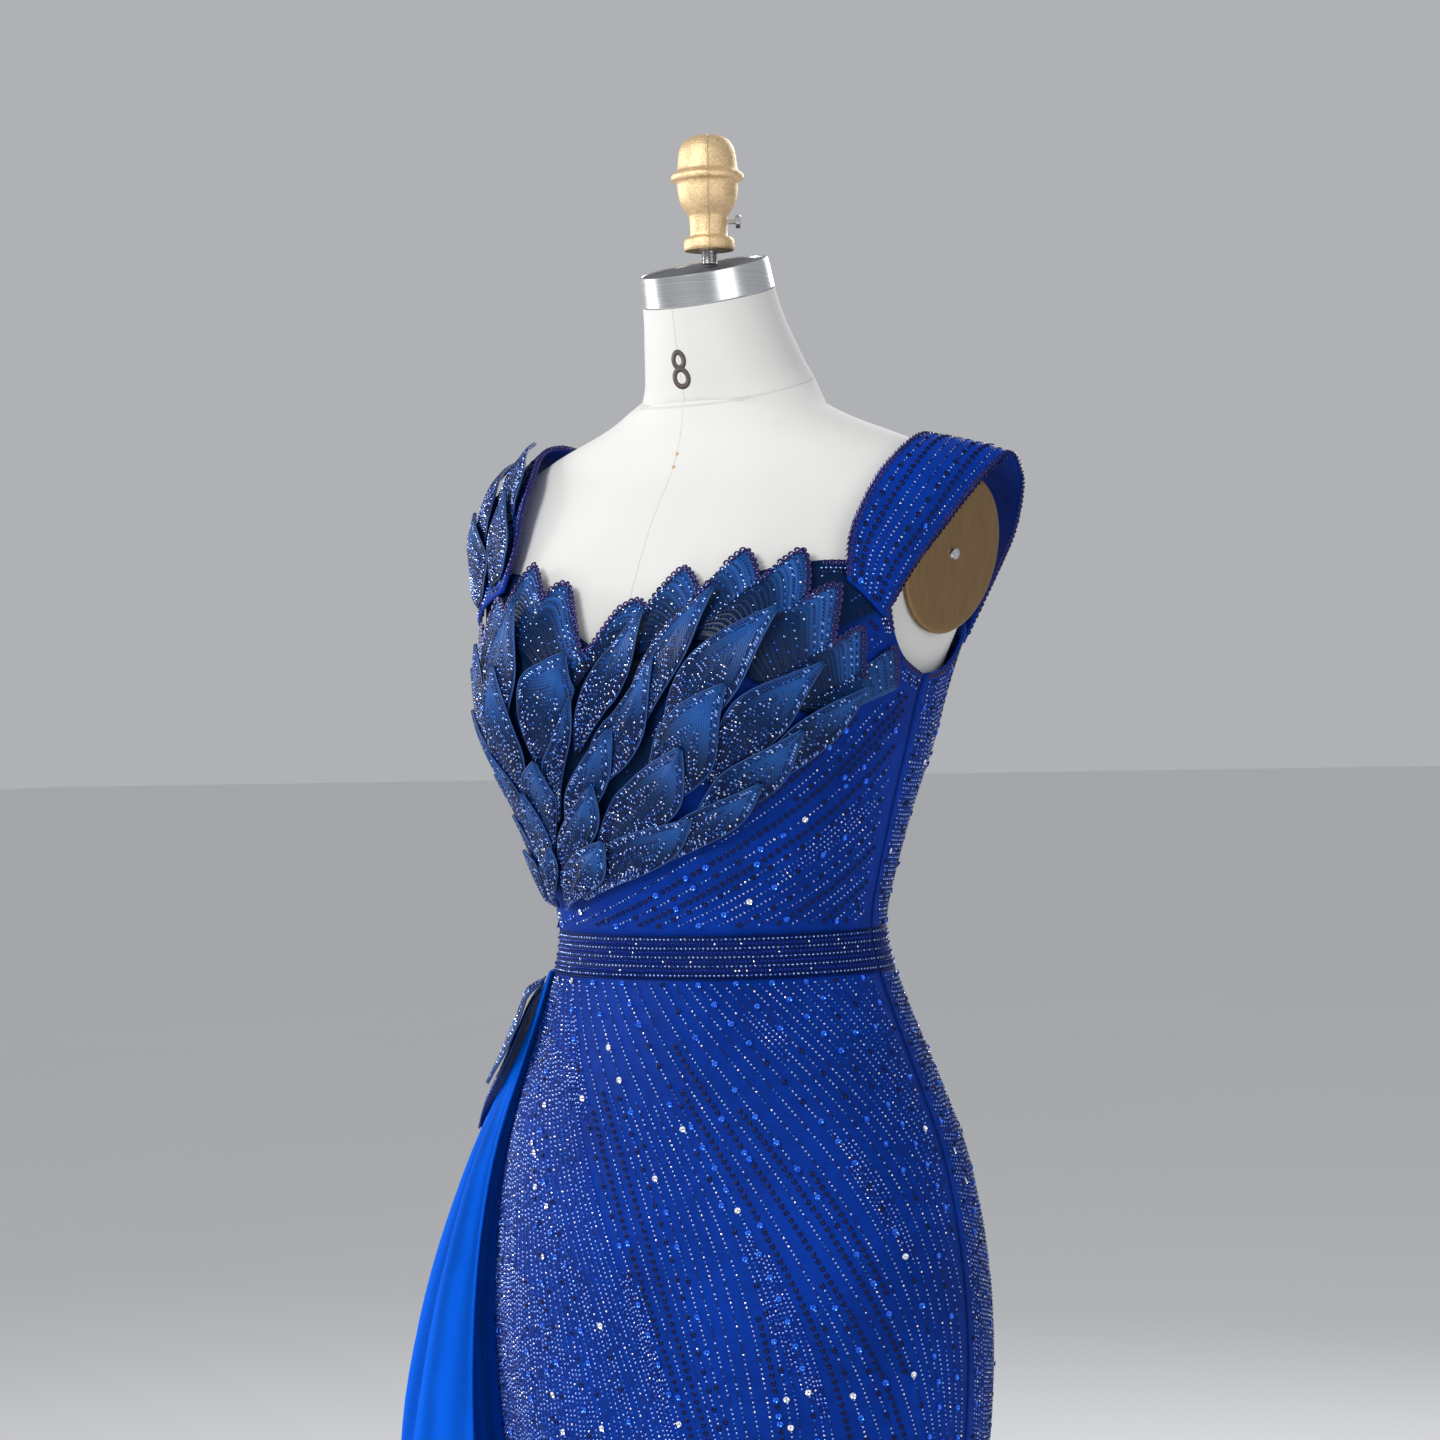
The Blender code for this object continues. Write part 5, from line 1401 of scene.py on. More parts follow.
class GOWN_OT_fittings(bpy.types.Operator):
    """Turns the form's neck ring, rod, finial, clamp screw and armhole plates"""

    bl_idname = "gown.fittings"
    bl_label = "Form fittings"

    def execute(self, context):
        top = {name: float(value) for name, value in NECK.at(5.0).items()}
        tilt = math.radians(top["tilt_deg"])
        normal = Vector((0, -math.sin(tilt), math.cos(tilt)))
        place = facing(Vector((0, top["y"], top["z"])) + normal * SEAM_GAP, normal)
        self.neck(place)
        self.finial(place, normal)
        for side, label in ((1, "left"), (-1, "right")):
            self.arm_plate(side, label)
        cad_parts["form_stand"].material_slots[0].material = finish_of("black_iron")
        return {"FINISHED"}

    def neck(self, place):
        inner, foot, steel = BAND_HIGH_RADIUS - BAND_WALL, 0.0040, finish_of("brushed_steel")
        band = [(0, foot), (inner - 0.001, foot)]
        band += [(inner, BAND_HEIGHT - 0.0004), (inner + 0.0003, BAND_HEIGHT)]
        band += [(BAND_HIGH_RADIUS - 0.0003, BAND_HEIGHT), (BAND_HIGH_RADIUS, BAND_HEIGHT - 0.0004)]
        band += [(BAND_HIGH_RADIUS + 0.0004, BAND_HEIGHT * 0.75), (BAND_LOW_RADIUS - 0.0002, 0.0022)]
        band += [(BAND_LOW_RADIUS, 0.0008), (BAND_LOW_RADIUS - 0.0004, 0), (0, 0)]
        turned("neck_band", band, place, 96, steel, "brushed_steel", "form_neck_band", sharp=30)
        high, radius = BAND_HEIGHT - PLATE_SUNK, inner - 0.0018
        plate = [(0, high), (0.012, high), (radius - 0.0006, high), (radius, high - 0.0006)]
        plate += [(radius, foot + SEAM_GAP), (0, foot + SEAM_GAP)]
        turned("neck_plate", plate, place, 96, finish_of("dark_plate"), "dark_plate", "form_neck_plate")

    def finial(self, place, normal):
        top = place @ Vector((0, 0, BAND_HEIGHT - PLATE_SUNK))
        low = top.z + top.y * normal.y / normal.z + ROD_RADIUS * abs(normal.y) / normal.z + SEAM_GAP
        high, steel, count = FINIAL_LOW_Z - SEAM_GAP, finish_of("brushed_steel"), 32
        heights = np.linspace(low, high, int((high - low) / 0.00022))
        turn = np.arange(count) / count
        phase = (heights[:, None] / 0.0012 + turn) % 1.0
        ends = smoothstep(0, 0.0006, heights - low) * smoothstep(0, 0.0006, high - heights)
        radius = ROD_RADIUS - 0.0006 * (1 - np.abs(2 * phase - 1)) * ends[:, None]
        angle = turn * 2 * math.pi
        rings = stacked(radius * np.cos(angle), radius * np.sin(angle), heights[:, None])
        loft("threaded_rod", rings, steel, "brushed_steel", "form_rod", sharp=60)
        knob = rounded([(radius, FINIAL_LOW_Z + height) for radius, height in FINIAL[:-1]], 2)
        knob += [(0.0, FINIAL_LOW_Z)]
        gold = finish_of("gold_paint")
        turned("finial", knob, Matrix.Identity(4), 72, gold, "gold_paint", "finial_knob", sharp=50)
        turn = math.radians(SCREW_TURN_DEG)
        out = Vector((math.cos(turn), math.sin(turn), 0))
        shaft, end = SCREW_SHAFT_LENGTH, SCREW_SHAFT_LENGTH + SCREW_HEAD_THICK
        screw = [(0, end - 0.0012), (0.0016, end - 0.0012), (0.0019, end), (SCREW_HEAD_RADIUS * 0.8, end)]
        screw += [(SCREW_HEAD_RADIUS, end - 0.0008), (SCREW_HEAD_RADIUS, shaft + 0.0004)]
        screw += [(SCREW_HEAD_RADIUS - 0.0004, shaft), (SCREW_SHAFT_RADIUS, shaft)]
        screw += [(SCREW_SHAFT_RADIUS, 0), (0, 0)]
        seat = facing(Vector((0, 0, SCREW_Z)) + out * SCREW_SEAT, out)
        turned("clamp_screw", screw, seat, 40, steel, "brushed_steel", "finial_screw", sharp=30)

    def arm_plate(self, side, label):
        normal = armhole_normal(side)
        up = unit(np.array((0, 0, 1.0)) - normal * normal[2])
        back = np.array((0, 1.0, 0)) - normal * normal[1]
        back = unit(back - up * dot(back, up))
        lean = math.radians(ARM_PLATE_LEAN_DEG)
        tall, wide = up * math.cos(lean) + back * math.sin(lean), back * math.cos(lean) - up * math.sin(lean)
        centre = armhole_point(side) + normal * (1.8 * SEAM_GAP - float(form_gap(ARMHOLE_POINT[2])))
        turn = side * 2 * math.pi * np.arange(96)[:, None] / 96
        rings = []
        profile = ((1.0, 0.0), (1.0, 0.55), (0.993, 0.75), (0.975, 0.9), (0.94, 0.97), (0.8, 1.0), (0.4, 1.0))
        for share, height in profile:
            flat = wide * ARM_PLATE_HALF_WIDTH * np.cos(turn) + tall * ARM_PLATE_HALF_HEIGHT * np.sin(turn)
            rings.append(centre + flat * share + normal * ARM_PLATE_THICK * height)
        plate, bronze = np.array(rings), finish_of("bronze_satin")
        loft(f"armhole_plate_{label}", plate, bronze, "bronze_satin", f"arm_plate_{label}", sharp=60)
        bolt = [(0, 0.0016), (0.0017, 0.0016), (0.0020, 0.0024), (0.0036, 0.0022)]
        bolt += [(0.0044, 0.0010), (0.0045, 0), (0, 0)]
        seat = facing(Vector(centre + normal * (ARM_PLATE_THICK + 0.00005)), normal)
        turned(f"armhole_bolt_{label}", bolt, seat, 32, finish_of("brushed_steel"), "brushed_steel")


class GOWN_OT_bodice(bpy.types.Operator):
    """Lays the bodice's satin and the strip over the back zip"""

    bl_idname = "gown.bodice"
    bl_label = "Bodice"

    def execute(self, context):
        satin, low = finish_of("royal_satin"), BELT_HIGH_Z + BELT_SEAM_OVER

        def front(across, up):
            z = low + (FRONT_EDGE.at(2 * SIDE_SEAM_DEG * across - SIDE_SEAM_DEG)["z"] - low) * up
            end = SIDE_SEAM_DEG - seam_angle(SIDE_SEAM_DEG, z)
            return body_point(end * (2 * across - 1), z)

        # Its satin carries painted shade under the feather fan.
        cloth("front_bodice", front, (96, 44), CLOTH, finish_of("backed_satin"), "royal_satin",
              "bodice_front", "stretched", ["form_torso"])
        for side, label in ((1, "left"), (-1, "right")):

            def back(across, up, side=side):
                z = low + (BACK_EDGE.at(SIDE_SEAM_DEG + 90 * across)["z"] - low) * up
                first = SIDE_SEAM_DEG + seam_angle(SIDE_SEAM_DEG, z)
                return body_point(side * (first + (BACK_SEAM_DEG - zip_angle(z) - first) * across), z)

            cloth(f"back_bodice_{label}", back, (48, 32), CLOTH, satin, "royal_satin", f"bodice_back_{label}",
                  "stretched", ["form_torso"], flip=side < 0)

        def zip_cover(across, up):
            foot = skirt_height(ZIP_LOW_SHARE) + SEAM_GAP
            z = foot + (ZIP_HIGH_Z - foot) * up
            half = ZIP_WIDTH / 2 / angle_width(BACK_SEAM_DEG, z)
            return body_point(BACK_SEAM_DEG + half * (2 * across - 1), z)

        cloth("zip_cover", zip_cover, (2, 60), CLOTH, satin, "royal_satin", "centre_back_zip",
              "stretched", ["form_torso"])
        self.seams()
        return {"FINISHED"}

    def seams(self):
        """The seams' own cords, which close the fine gaps between the panels."""
        foot, head, count = skirt_height(ZIP_LOW_SHARE), BELT_HIGH_Z, 200
        around, level = np.linspace(-178.6, 178.6, 2 * count), np.ones(2 * count)
        lines = [(around, level * (BELT_LOW_Z - BELT_SEAM_UNDER / 2)), (around, level * (head + 0.0006))]
        for side in (-1, 1):
            for low, high in ((HEM_Z, BELT_LOW_Z), (BELT_LOW_Z, head), (head, SIDE_SEAM_HIGH_Z)):
                lines.append((np.full(count, side * SIDE_SEAM_DEG), np.linspace(low, high, count)))
            z = np.linspace(foot, ZIP_SEAM_HIGH_Z, count)
            beside = (ZIP_WIDTH / 2 + SEAM_GAP / 2) / angle_width(BACK_SEAM_DEG, z)
            lines.append((side * (BACK_SEAM_DEG - beside), z))
        lines.append((np.full(count, BACK_SEAM_DEG), np.linspace(HEM_Z, foot, count)))
        frames = [body_frame(angle, z) for angle, z in lines]
        paths = [point + normal * (CLOTH - SEAM_CORD_SUNK) for point, normal in frames]
        normals = [normal for _, normal in frames]
        cord = finish_of("beaded_band")
        sweep("seam_cords", paths, normals, SEAM_CORD_HALF_WIDE, SEAM_CORD_HALF_HIGH, cord)


def skirt_height(up):
    return HEM_Z + (BELT_LOW_Z - BELT_SEAM_UNDER - HEM_Z) * (1 - (1 - up) ** SKIRT_ROW_CROWDING)


class GOWN_OT_skirt(bpy.types.Operator):
    """Lays the skirt's three panels"""

    bl_idname = "gown.skirt"
    bl_label = "Skirt"

    def execute(self, context):
        satin = finish_of("royal_satin")

        def front(across, up):
            z = skirt_height(up)
            return body_point((SIDE_SEAM_DEG - seam_angle(SIDE_SEAM_DEG, z)) * (2 * across - 1), z)

        cloth("front_skirt", front, (96, 84), CLOTH, satin, "royal_satin", "skirt_front",
              "hung", ["waistband_front"])
        for side, label in ((1, "left"), (-1, "right")):

            def back(across, up, side=side):
                z = skirt_height(up)
                first = SIDE_SEAM_DEG + seam_angle(SIDE_SEAM_DEG, z)
                gap = np.where(up > ZIP_LOW_SHARE - 0.001, zip_angle(z), seam_angle(BACK_SEAM_DEG, z))
                return body_point(side * (first + (BACK_SEAM_DEG - gap - first) * across), z)

            cloth(f"back_skirt_{label}", back, (52, 84), CLOTH, satin, "royal_satin", f"skirt_back_{label}",
                  "hung", [f"waistband_back_{label}"], flip=side < 0)
        return {"FINISHED"}


class GOWN_OT_bands(bpy.types.Operator):
    """Lays the waistband and the two straps"""

    bl_idname = "gown.bands"
    bl_label = "Waistband and straps"

    def execute(self, context):
        beaded = finish_of("beaded_band")

        def band(first, last, sign=1):
            def place(across, up):
                z = BELT_LOW_Z + (BELT_HIGH_Z - BELT_LOW_Z) * up
                start = first + seam_angle(first, z)
                end = last - (zip_angle(z) if last == BACK_SEAM_DEG else seam_angle(last, z))
                return body_point(sign * (start + (end - start) * across), z)

            return place

        cloth("front_waistband", band(-SIDE_SEAM_DEG, SIDE_SEAM_DEG), (96, 6), BELT_CLOTH, beaded,
              "beaded_band", "waistband_front", "stretched", ["form_torso"])
        for side, label in ((1, "left"), (-1, "right")):
            half = band(SIDE_SEAM_DEG, BACK_SEAM_DEG, side)
            cloth(f"back_waistband_{label}", half, (48, 6), BELT_CLOTH, beaded, "beaded_band",
                  f"waistband_back_{label}", "stretched", ["form_torso"], flip=side < 0)

            def strap(across, up, side=side):
                return strap_point(side, up, across)

            cloth(f"shoulder_{label}", strap, (14, 90), CLOTH, finish_of("royal_satin"), "royal_satin",
                  f"strap_{label}", "stretched", ["form_torso"], flip=side < 0)
        return {"FINISHED"}


class GOWN_OT_overskirt(bpy.types.Operator):
    """Gathers the net overskirt at the hip"""

    bl_idname = "gown.overskirt"
    bl_label = "Side overskirt"

    def execute(self, context):
        def place(across, up):
            z = HEM_Z + (BELT_LOW_Z - 0.002 - HEM_Z) * up
            share = 1 - across
            row = OVERSKIRT.at(z)
            angle = row["first_angle"] + (row["last_angle"] - row["first_angle"]) * share
            fall = smoothstep(0.0, 0.35, 1 - up)
            ripple = np.sin(2 * math.pi * (23.0 * share + 0.8 * np.sin(3.1 * z + 9 * share)))
            ripple = ripple * 0.15 * fall * row["fold_depth"]
            return body_point(-angle, z, overskirt_lift(z, share) + np.maximum(ripple, -0.0006))

        cloth("net_overskirt", place, (216, 60), NET, finish_of("cobalt_net"), "cobalt_net", "side_overskirt",
              "gathered", ["waistband_front"])
        return {"FINISHED"}


class GOWN_OT_feathers(bpy.types.Operator):
    """Lays the feather pieces with their piped edges"""

    bl_idname = "gown.feathers"
    bl_label = "Feather pieces"

    def execute(self, context):
        organza = finish_of("teal_organza")
        cloth("feather_tips", edge_band, (EDGE_TIPS * 20, 12), FEATHER_CLOTH, finish_of("tip_organza"),
              "teal_organza", "feather_edge", "laid", ["bodice_front"], even=False, leaf=True,
              rows_for_width=slice(0, 1))
        paths, normals = [], []
        for name, place, under in all_feathers():

            def cupped(across, up, place=place):
                rise = 1 - (2 * np.abs(across - 0.5)) ** 2
                shaft = np.exp(-(((across - 0.5) / 0.05) ** 2))
                fall = smoothstep(0.0, 0.3, up)
                return place(across, up, (CUP_RISE * rise + SHAFT_RISE * shaft) * fall)

            cloth(f"{name}_leaf", cupped, (16, 26), FEATHER_CLOTH, organza, "teal_organza", name, "laid",
                  [under], even=False, leaf=True)
            rise = np.linspace(0.03, 0.995, 34)
            up, across = np.concatenate([rise, rise[::-1]]), np.repeat([0.0, 1.0], 34)
            points, outward = leaf_frame(place, FEATHER_CLOTH + 0.0001)(across, up)
            paths.append(points)
            normals.append(outward)
        piping = finish_of("piping")
        sweep("feather_piping", paths, normals, PIPING_HALF_WIDE, PIPING_HALF_HIGH, piping)
        return {"FINISHED"}


class GOWN_OT_skirt_beads(bpy.types.Operator):
    """Strings the skirt's bead lines, its close field and its leaf-shaped patches"""

    bl_idname = "gown.skirt_beads"
    bl_label = "Skirt beading"

    def execute(self, context):
        sizes = context.scene.gown_sizes
        beads = Beads(seed=11)
        marks = np.arange(BELT_LOW_Z - 0.004, HEM_Z + 0.004, -LINE_STEP)

        def heading(angle, z):
            gone = BELT_LOW_Z - z
            slope = SKIRT_SLOPE.at(angle)["slope"] * math.exp(-((gone / 0.30) ** 1.3))
            wave = 7.0 * np.sin(2 * math.pi * (z / 0.34 + angle / 58.0)) * smoothstep(0.06, 0.25, gone)
            return -np.tan(np.radians(slope + wave)) / angle_width(angle, z)

        def spacing(angle, z):
            angle = np.asarray(angle, float)
            gone = BELT_LOW_Z - z
            field_to = np.minimum(12.0, -46.0 + 115.0 * gone**0.6)
            behind = np.abs(angle) > SIDE_SEAM_DEG
            close = (~behind & (angle < field_to)) | (behind & (angle > 0) & (angle < 112.0))
            open_gap = np.where(behind, sizes.line_gap * 1.25, sizes.line_gap)
            want = np.where(close, sizes.close_gap, open_gap)
            want = want * (1.0 + 0.55 * smoothstep(0.0, 0.30, 0.66 - z))
            return np.where(in_patch(SKIRT_PATCHES, angle, z), sizes.patch_gap, want)

        def covered(angle, z, point):
            row = OVERSKIRT.at(z)
            return (-angle > row["first_angle"] + 5) & (-angle < row["last_angle"] - 5)

        def bounds(first, last):
            def at(z):
                strip = [SEAM_STRIP / float(angle_width(edge, z)) for edge in (first, last)]
                return first + strip[0], last - strip[1]

            return at

        for first, last, count in ((-90.0, 90.0, 44), (90.0, 180.0, 20), (-180.0, -90.0, 20)):
            start = np.linspace(first + 3, last - 3, count)
            lines = comb(body_section, heading, spacing, bounds(first, last), marks, start)
            string_lines(beads, lines, lambda path: path, covered)
        for z in (HEM_Z + 0.004, HEM_Z + 0.0085):
            path = np.stack([np.linspace(-57, 191, 500), np.full(500, z)], 1)
            string_row(beads, lifted(CLOTH), path, sizes.seed_pitch,
                       lambda n: line_kinds(beads.random, "seed", n))
        beads.make("skirt")
        return {"FINISHED"}


class GOWN_OT_bodice_beads(bpy.types.Operator):
    """Strings the bodice's sloping bead lines beyond the feathers"""

    bl_idname = "gown.bodice_beads"
    bl_label = "Bodice beading"

    def execute(self, context):
        sizes = context.scene.gown_sizes
        beads = Beads(seed=12)
        tree = self.under_feathers()

        def covered(angle, z, point):
            return np.array([tree.find(p)[2] < COVERED_REACH for p in point])

        low = BELT_HIGH_Z + 0.0035
        patches = ((66.0, 1.122, 0.100, 0.018, -52.0),)

        def sloping(z, angle):
            """How the height changes with a degree round the front."""
            z, share = np.asarray(z, float), (angle - SLOPING_FROM_DEG) / SLOPING_SPAN_DEG
            far = max(share, 0.02) * SLOPING_SPAN_DEG * 0.0023
            rise = 0.55 * (z - low) / far + 0.10 + 0.62 * share
            return np.minimum(rise, 2.4) * angle_width(np.full(z.shape, angle), z)

        def close(z, angle):
            inside = in_patch(patches, np.full(np.shape(z), angle), np.asarray(z))
            return np.where(inside, sizes.patch_gap, sizes.line_gap)

        def across_front(z, angle):
            return body_section(np.full(np.shape(z), angle), z)

        def front_bounds(angle):
            return low, float(FRONT_EDGE.at(angle)["z"]) - 0.0135

        marks = np.arange(-50.0, 86.5, 0.7)
        lines = comb(across_front, sloping, close, front_bounds, marks, np.array([low + 0.004]))
        string_lines(beads, lines, lambda path: path[:, ::-1], covered)
        self.neckline(beads, covered)
        marks = np.arange(low, 1.268, LINE_STEP)
        self.right_side(beads, covered, marks)
        for side in (1, -1):
            self.back(beads, side, low, marks)
        beads.make("bodice")
        return {"FINISHED"}

    def under_feathers(self):
        """The places that feathers cover, to look up the nearest of them."""
        across, up = (v.ravel() for v in np.meshgrid(np.linspace(0.05, 0.95, 7), np.linspace(0.05, 0.95, 15)))
        under = [place(across, up) for name, place, _ in all_feathers() if name.startswith("feather")]
        span, rise = (v.ravel() for v in np.meshgrid(np.linspace(0, 1, 120), np.linspace(0, 1, 8)))
        under = np.vstack(under + [edge_band(span, rise)])
        tree = kdtree.KDTree(len(under))
        for i, point in enumerate(under):
            tree.insert(point, i)
        tree.balance()
        return tree

    def neckline(self, beads, covered):
        """Rows that follow the neckline by the left strap."""
        sizes, angles = bpy.context.scene.gown_sizes, np.linspace(28.0, 89.0, 260)
        for offset, style in ((0.0016, "ring"), (0.0052, "seed"), (0.0078, "mixed"), (0.0108, "seed")):
            path = np.stack([angles, FRONT_EDGE.at(angles)["z"] - offset], 1)
            pitch = sizes.ring_pitch * EDGE_PITCH_SHARE if style == "ring" else sizes.seed_pitch
            kinds = "plum" if style == "ring" else lambda n, style=style: line_kinds(beads.random, style, n)
            string_row(beads, lifted(CLOTH), path, pitch, kinds, shown=lambda point: ~covered(0, 0, point))

    def right_side(self, beads, covered, marks):
        """Close lines between the wearer's right side seam and the feathers."""

        def heading(angle, z):
            return 0.10 * np.ones(np.shape(angle)) / angle_width(angle, z)

        def gap(angle, z):
            return np.full(np.shape(angle), bpy.context.scene.gown_sizes.close_gap)

        def hidden(angle, z, point):
            return covered(angle, z, point) | (z > FRONT_EDGE.at(angle)["z"] - 0.006)

        start = np.linspace(-86.0, -46.0, 18)
        lines = comb(body_section, heading, gap, lambda z: (-87.4, -44.0), marks, start)
        string_lines(beads, lines, lambda path: path, hidden)

    def back(self, beads, side, low, marks):
        """Lines down one half of the back, under a row of rings."""
        sizes = bpy.context.scene.gown_sizes

        def edges(z):
            top = float(np.interp(z, (1.228, 1.262), (90.0, 124.0)))
            first, last = max(90.0, top) + 0.006 / 0.0024 * 1.1, 180.0 - 3.5
            return (first, last) if side > 0 else (-last, -first)

        def turning(angle, z):
            return side * -np.tan(np.radians(10.0 + 8.0 * np.sin(angle / 14.0))) / angle_width(angle, z)

        def gap(angle, z):
            return np.where(np.abs(angle) < 122, sizes.close_gap, sizes.line_gap)

        def hidden(angle, z, point):
            return z > BACK_EDGE.at(np.abs(angle))["z"] - 0.005

        lines = comb(body_section, turning, gap, edges, marks, np.linspace(*edges(low), 18)[1:-1])
        string_lines(beads, lines, lambda path: path, hidden)
        angles = np.linspace(92, 178.5, 160)
        path = np.stack([angles * side, BACK_EDGE.at(angles)["z"] - 0.002], 1)
        string_row(beads, lifted(CLOTH), path, sizes.ring_pitch * EDGE_PITCH_SHARE, "plum")


class GOWN_OT_band_beads(bpy.types.Operator):
    """Strings the waistband's and the straps' rows"""

    bl_idname = "gown.band_beads"
    bl_label = "Band beading"

    def execute(self, context):
        sizes = context.scene.gown_sizes
        beads = Beads(seed=13)
        self.belt(beads, sizes)
        for side in (1, -1):
            self.strap(beads, sizes, side)
        beads.make("bands")
        return {"FINISHED"}

    def belt(self, beads, sizes):
        """Rows of small beads and of larger dark ones in turn."""
        random = beads.random

        def large(count):
            return random.choice(["round", "spark"], count, p=[0.94, 0.06])

        def small(count):
            bright = random.choice(["silver", "blue"], count, p=[0.7, 0.3])
            return np.where(np.arange(count) % 2 == 0, bright, "navy")

        for first, last in ((-89.6, 89.6), (90.4, 178.6), (-178.6, -90.4)):
            angles = np.linspace(first, last, 240)
            for row in range(BELT_ROWS):
                share = row / (BELT_ROWS - 1)
                z = BELT_LOW_Z + BELT_ROW_INSET + (BELT_HIGH_Z - BELT_LOW_Z - 2 * BELT_ROW_INSET) * share
                path = np.stack([angles, np.full(240, z)], 1)
                pitch, kinds = (sizes.seed_pitch, small) if row % 2 == 0 else (sizes.round_pitch, large)
                string_row(beads, lifted(BELT_CLOTH), path, pitch, kinds)

    def strap(self, beads, sizes, side):
        """Rows along a strap, with rings beside its edges and on its rims."""

        def at(along, across):
            return strap_frame(side, along, across)

        along = np.linspace(0.02, 0.98, 160)
        for number, across in enumerate((0.035, 0.15, 0.27, 0.385, 0.5, 0.615, 0.73, 0.85, 0.965)):
            style = "edge" if number in (0, 8) else ("seed", "mixed", "ring", "seed")[number % 4]
            pitches = {"edge": sizes.ring_pitch * STRAP_EDGE_PITCH_SHARE, "ring": sizes.ring_pitch}
            kinds = "plum" if style == "edge" else lambda n, style=style: line_kinds(beads.random, style, n)
            path = np.stack([along, np.full(160, across)], 1)
            string_row(beads, at, path, pitches.get(style, sizes.seed_pitch), kinds, CLOTH)
        for edge, out in ((0.0, -1), (1.0, 1)):

            def rim(along, across, out=out):
                point, normal = at(along, across)
                outward = strap_point(side, along, across + 0.02) - strap_point(side, along, across - 0.02)
                return point + normal * CLOTH * 0.55, unit(outward) * out

            path = np.stack([np.linspace(0.05, 0.95, 160), np.full(160, edge)], 1)
            string_row(beads, rim, path, sizes.ring_pitch * RIM_PITCH_SHARE, "plum", 0.0003)


class GOWN_OT_feather_beads(bpy.types.Operator):
    """Edges and fills the feather pieces with beads"""

    bl_idname = "gown.feather_beads"
    bl_label = "Feather beading"

    def execute(self, context):
        sizes = context.scene.gown_sizes
        beads = Beads(seed=14)
        random = beads.random

        def fill(count):
            bright = random.choice(["silver", "blue", "navy", "spark"], count, p=[0.30, 0.26, 0.40, 0.04])
            return np.where(np.arange(count) % 2 == 0, bright, "navy")

        def edging(count):
            return random.choice(["dark_bugle", "bugle"], count, p=[0.66, 0.34])

        for _, place, _ in all_feathers():
            at = leaf_frame(place, FEATHER_CLOTH + 0.0009)
            middle = np.array([0.55])
            wide = float(np.linalg.norm(place(np.array([1.0]), middle) - place(np.array([0.0]), middle)))
            # Each row's reach and width as shares of the leaf, its inset, its beads and their slant.
            rows = [(1.0, 1.0, 0.0022, edging, 48.0), (1.0, 1.0, 0.0045, fill, 0.0)]
            rows += [(FIELD_REACH, FIELD_WIDTH, 0.0021 * number, fill, 0.0) for number in range(9)]
            for reach, share, inset, kinds, slant in rows:
                up = np.linspace(0.05, 0.97 * reach, 60)
                room = 0.5 * wide * share * leaf_outline(up / reach) - inset
                inside = room > 0.0007
                if inside.sum() < 6:
                    continue
                pitch = sizes.feather_pitch * (1.3 if slant else 1.0)
                for sign in (-1, 1):
                    across = 0.5 + sign * (room / (wide * leaf_outline(up)))
                    path = np.stack([across, up], 1)[inside]
                    string_row(beads, at, path, pitch, kinds, slant=sign * slant)
            path = np.stack([np.full(40, 0.5), np.linspace(0.04, 0.66, 40)], 1)
            string_row(beads, at, path, sizes.feather_pitch, fill)
        self.edge_rows(beads, fill, edging)
        beads.make("feather")
        return {"FINISHED"}

    def edge_rows(self, beads, fill, edging):
        """Rows along the neckline's row of tips, with rings on its very edge."""
        at, across = leaf_frame(edge_band, FEATHER_CLOTH), np.linspace(0.002, 0.998, EDGE_TIPS * 60)
        rows = [(0.985, 0.0047, "tip_ring", 0.0), (0.90, 0.0026, fill, 0.0), (0.83, 0.0026, edging, 50.0)]
        rows += [(up, 0.0026, fill, 0.0) for up in (0.74, 0.64, 0.54, 0.44, 0.34, 0.24, 0.14)]
        for up, pitch, kinds, slant in rows:
            path = np.stack([across, np.full(len(across), up)], 1)
            string_row(beads, at, path, pitch, kinds, 0.0008, slant=slant)


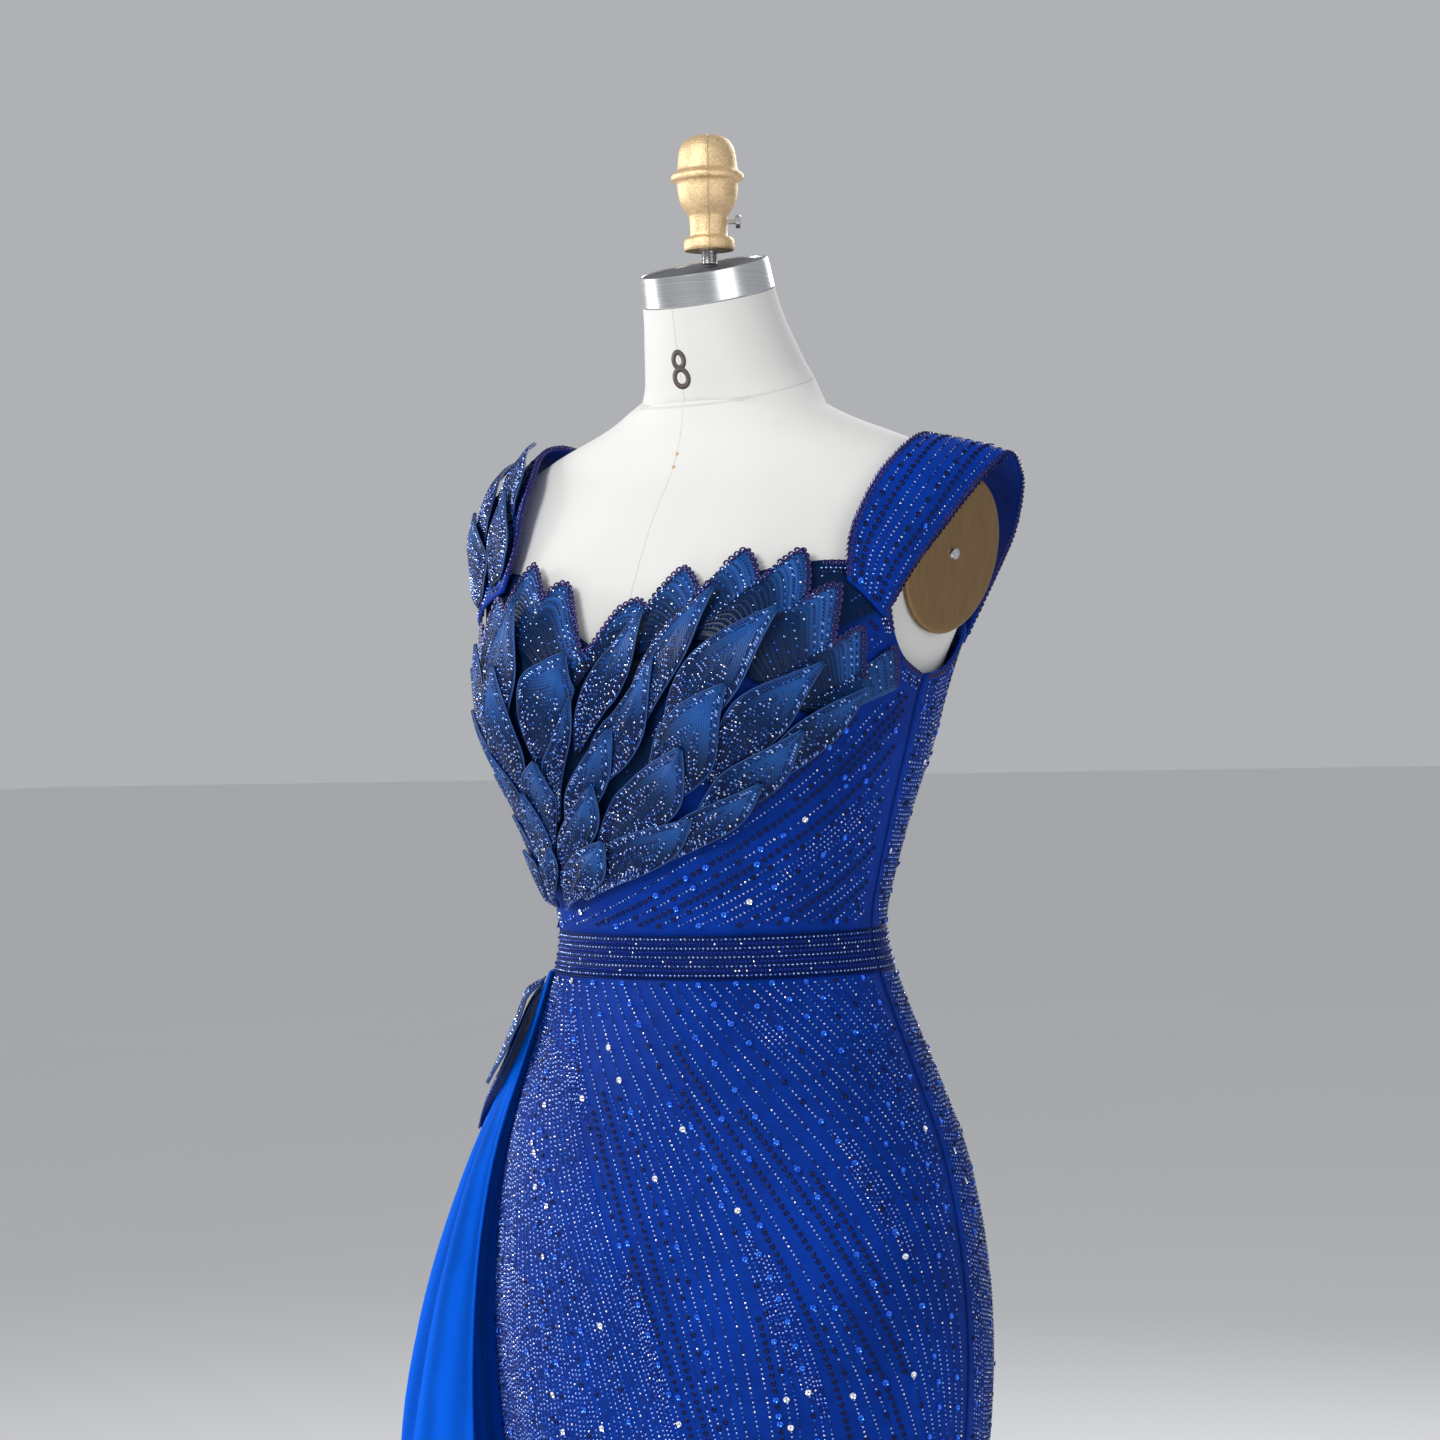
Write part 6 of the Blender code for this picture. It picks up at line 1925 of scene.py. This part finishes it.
class GOWN_OT_stage(bpy.types.Operator):
    """Sets the floor, the lamps and the camera"""

    bl_idname = "gown.stage"
    bl_label = "Stage"

    def execute(self, context):
        scene, stage = context.scene, context.scene.gown_stage
        scene.view_settings.view_transform = "Standard"
        scene.view_settings.look = "None"
        finish = Finish("studio_floor", roughness=0.85)
        cloud = finish.noise(0.8, 2.0)
        floor = list(stage.floor)
        finish.put("Base Color", finish.mix(cloud, shaded(floor, 0.97), floor))
        corners = np.array([(-1, -1, 0), (1, -1, 0), (1, 1, 0), (-1, 1, 0)], float) * FLOOR_HALF
        mesh = new_mesh("floor", corners, np.array([[0, 1, 2, 3]]))
        mesh.materials.append(finish.material)
        ground = bpy.data.objects.new("floor", mesh)
        scene.collection.objects.link(ground)
        world = bpy.data.worlds.new("studio")
        world.use_nodes = True
        world.node_tree.nodes["Background"].inputs["Color"].default_value = (0.86, 0.88, 0.92, 1)
        world.node_tree.nodes["Background"].inputs["Strength"].default_value = 0.50
        scene.world = world
        aim = Vector((0, 0, LAMP_AIM_Z))
        for name, place, size, power in LAMPS:
            lamp = bpy.data.lights.new(name, "AREA")
            lamp.shape, lamp.size, lamp.energy = "DISK", size, power * stage.light
            thing = bpy.data.objects.new(name, lamp)
            scene.collection.objects.link(thing)
            thing.location = place
            thing.rotation_euler = (aim - Vector(place)).to_track_quat("-Z", "Y").to_euler()
        self.camera(scene)
        return {"FINISHED"}

    def camera(self, scene):
        """The photo's view: from the wearer's left of the front, level, and rolled a little."""
        turn, roll = math.radians(CAMERA_TURN_DEG), math.radians(CAMERA_ROLL_DEG)
        forward = Vector((-math.sin(turn), math.cos(turn), 0))
        right, up = Vector((math.cos(turn), math.sin(turn), 0)), Vector((0, 0, 1))
        up_rolled = up * math.cos(roll) - right * math.sin(roll)
        right_rolled = right * math.cos(roll) + up * math.sin(roll)
        lens = bpy.data.cameras.new("camera")
        lens.lens, lens.sensor_width = LENS_MM, SENSOR_MM
        lens.shift_x = -(STAND_AXIS_PX - PHOTO_SIDE_PX / 2) / PHOTO_SIDE_PX
        camera = bpy.data.objects.new("camera", lens)
        scene.collection.objects.link(camera)
        camera.matrix_world = Matrix((right_rolled, up_rolled, -forward)).transposed().to_4x4()
        camera.location = Vector((0, 0, CAMERA_Z)) - forward * CAMERA_AWAY
        scene.camera = camera


class GOWN_PT_panel(bpy.types.Panel):
    """The gown's sizes, colours and steps"""

    bl_idname = "GOWN_PT_panel"
    bl_label = "Mermaid gown"
    bl_space_type = "VIEW_3D"
    bl_region_type = "UI"
    bl_category = "Gown"

    def draw(self, context):
        for group in (context.scene.gown_sizes, context.scene.gown_colours, context.scene.gown_stage):
            box = self.layout.box()
            for name in group.bl_rna.properties.keys():
                if name not in ("rna_type", "name"):
                    box.prop(group, name)
        for operator in OPERATORS:
            self.layout.operator(operator.bl_idname)


OPERATORS = (
    GOWN_OT_stage,
    GOWN_OT_form,
    GOWN_OT_fittings,
    GOWN_OT_bodice,
    GOWN_OT_skirt,
    GOWN_OT_bands,
    GOWN_OT_overskirt,
    GOWN_OT_feathers,
    GOWN_OT_skirt_beads,
    GOWN_OT_bodice_beads,
    GOWN_OT_band_beads,
    GOWN_OT_feather_beads,
)
CLASSES = (GownSizes, GownColours, GownStage, *OPERATORS, GOWN_PT_panel)


def register():
    for made in CLASSES:
        bpy.utils.register_class(made)
    bpy.types.Scene.gown_sizes = bpy.props.PointerProperty(type=GownSizes)
    bpy.types.Scene.gown_colours = bpy.props.PointerProperty(type=GownColours)
    bpy.types.Scene.gown_stage = bpy.props.PointerProperty(type=GownStage)


def unregister():
    for name in ("gown_sizes", "gown_colours", "gown_stage"):
        delattr(bpy.types.Scene, name)
    for made in reversed(CLASSES):
        bpy.utils.unregister_class(made)


def main():
    register()
    for operator in OPERATORS:
        group, name = operator.bl_idname.split(".")
        getattr(getattr(bpy.ops, group), name)()


if __name__ == "__main__":
    main()
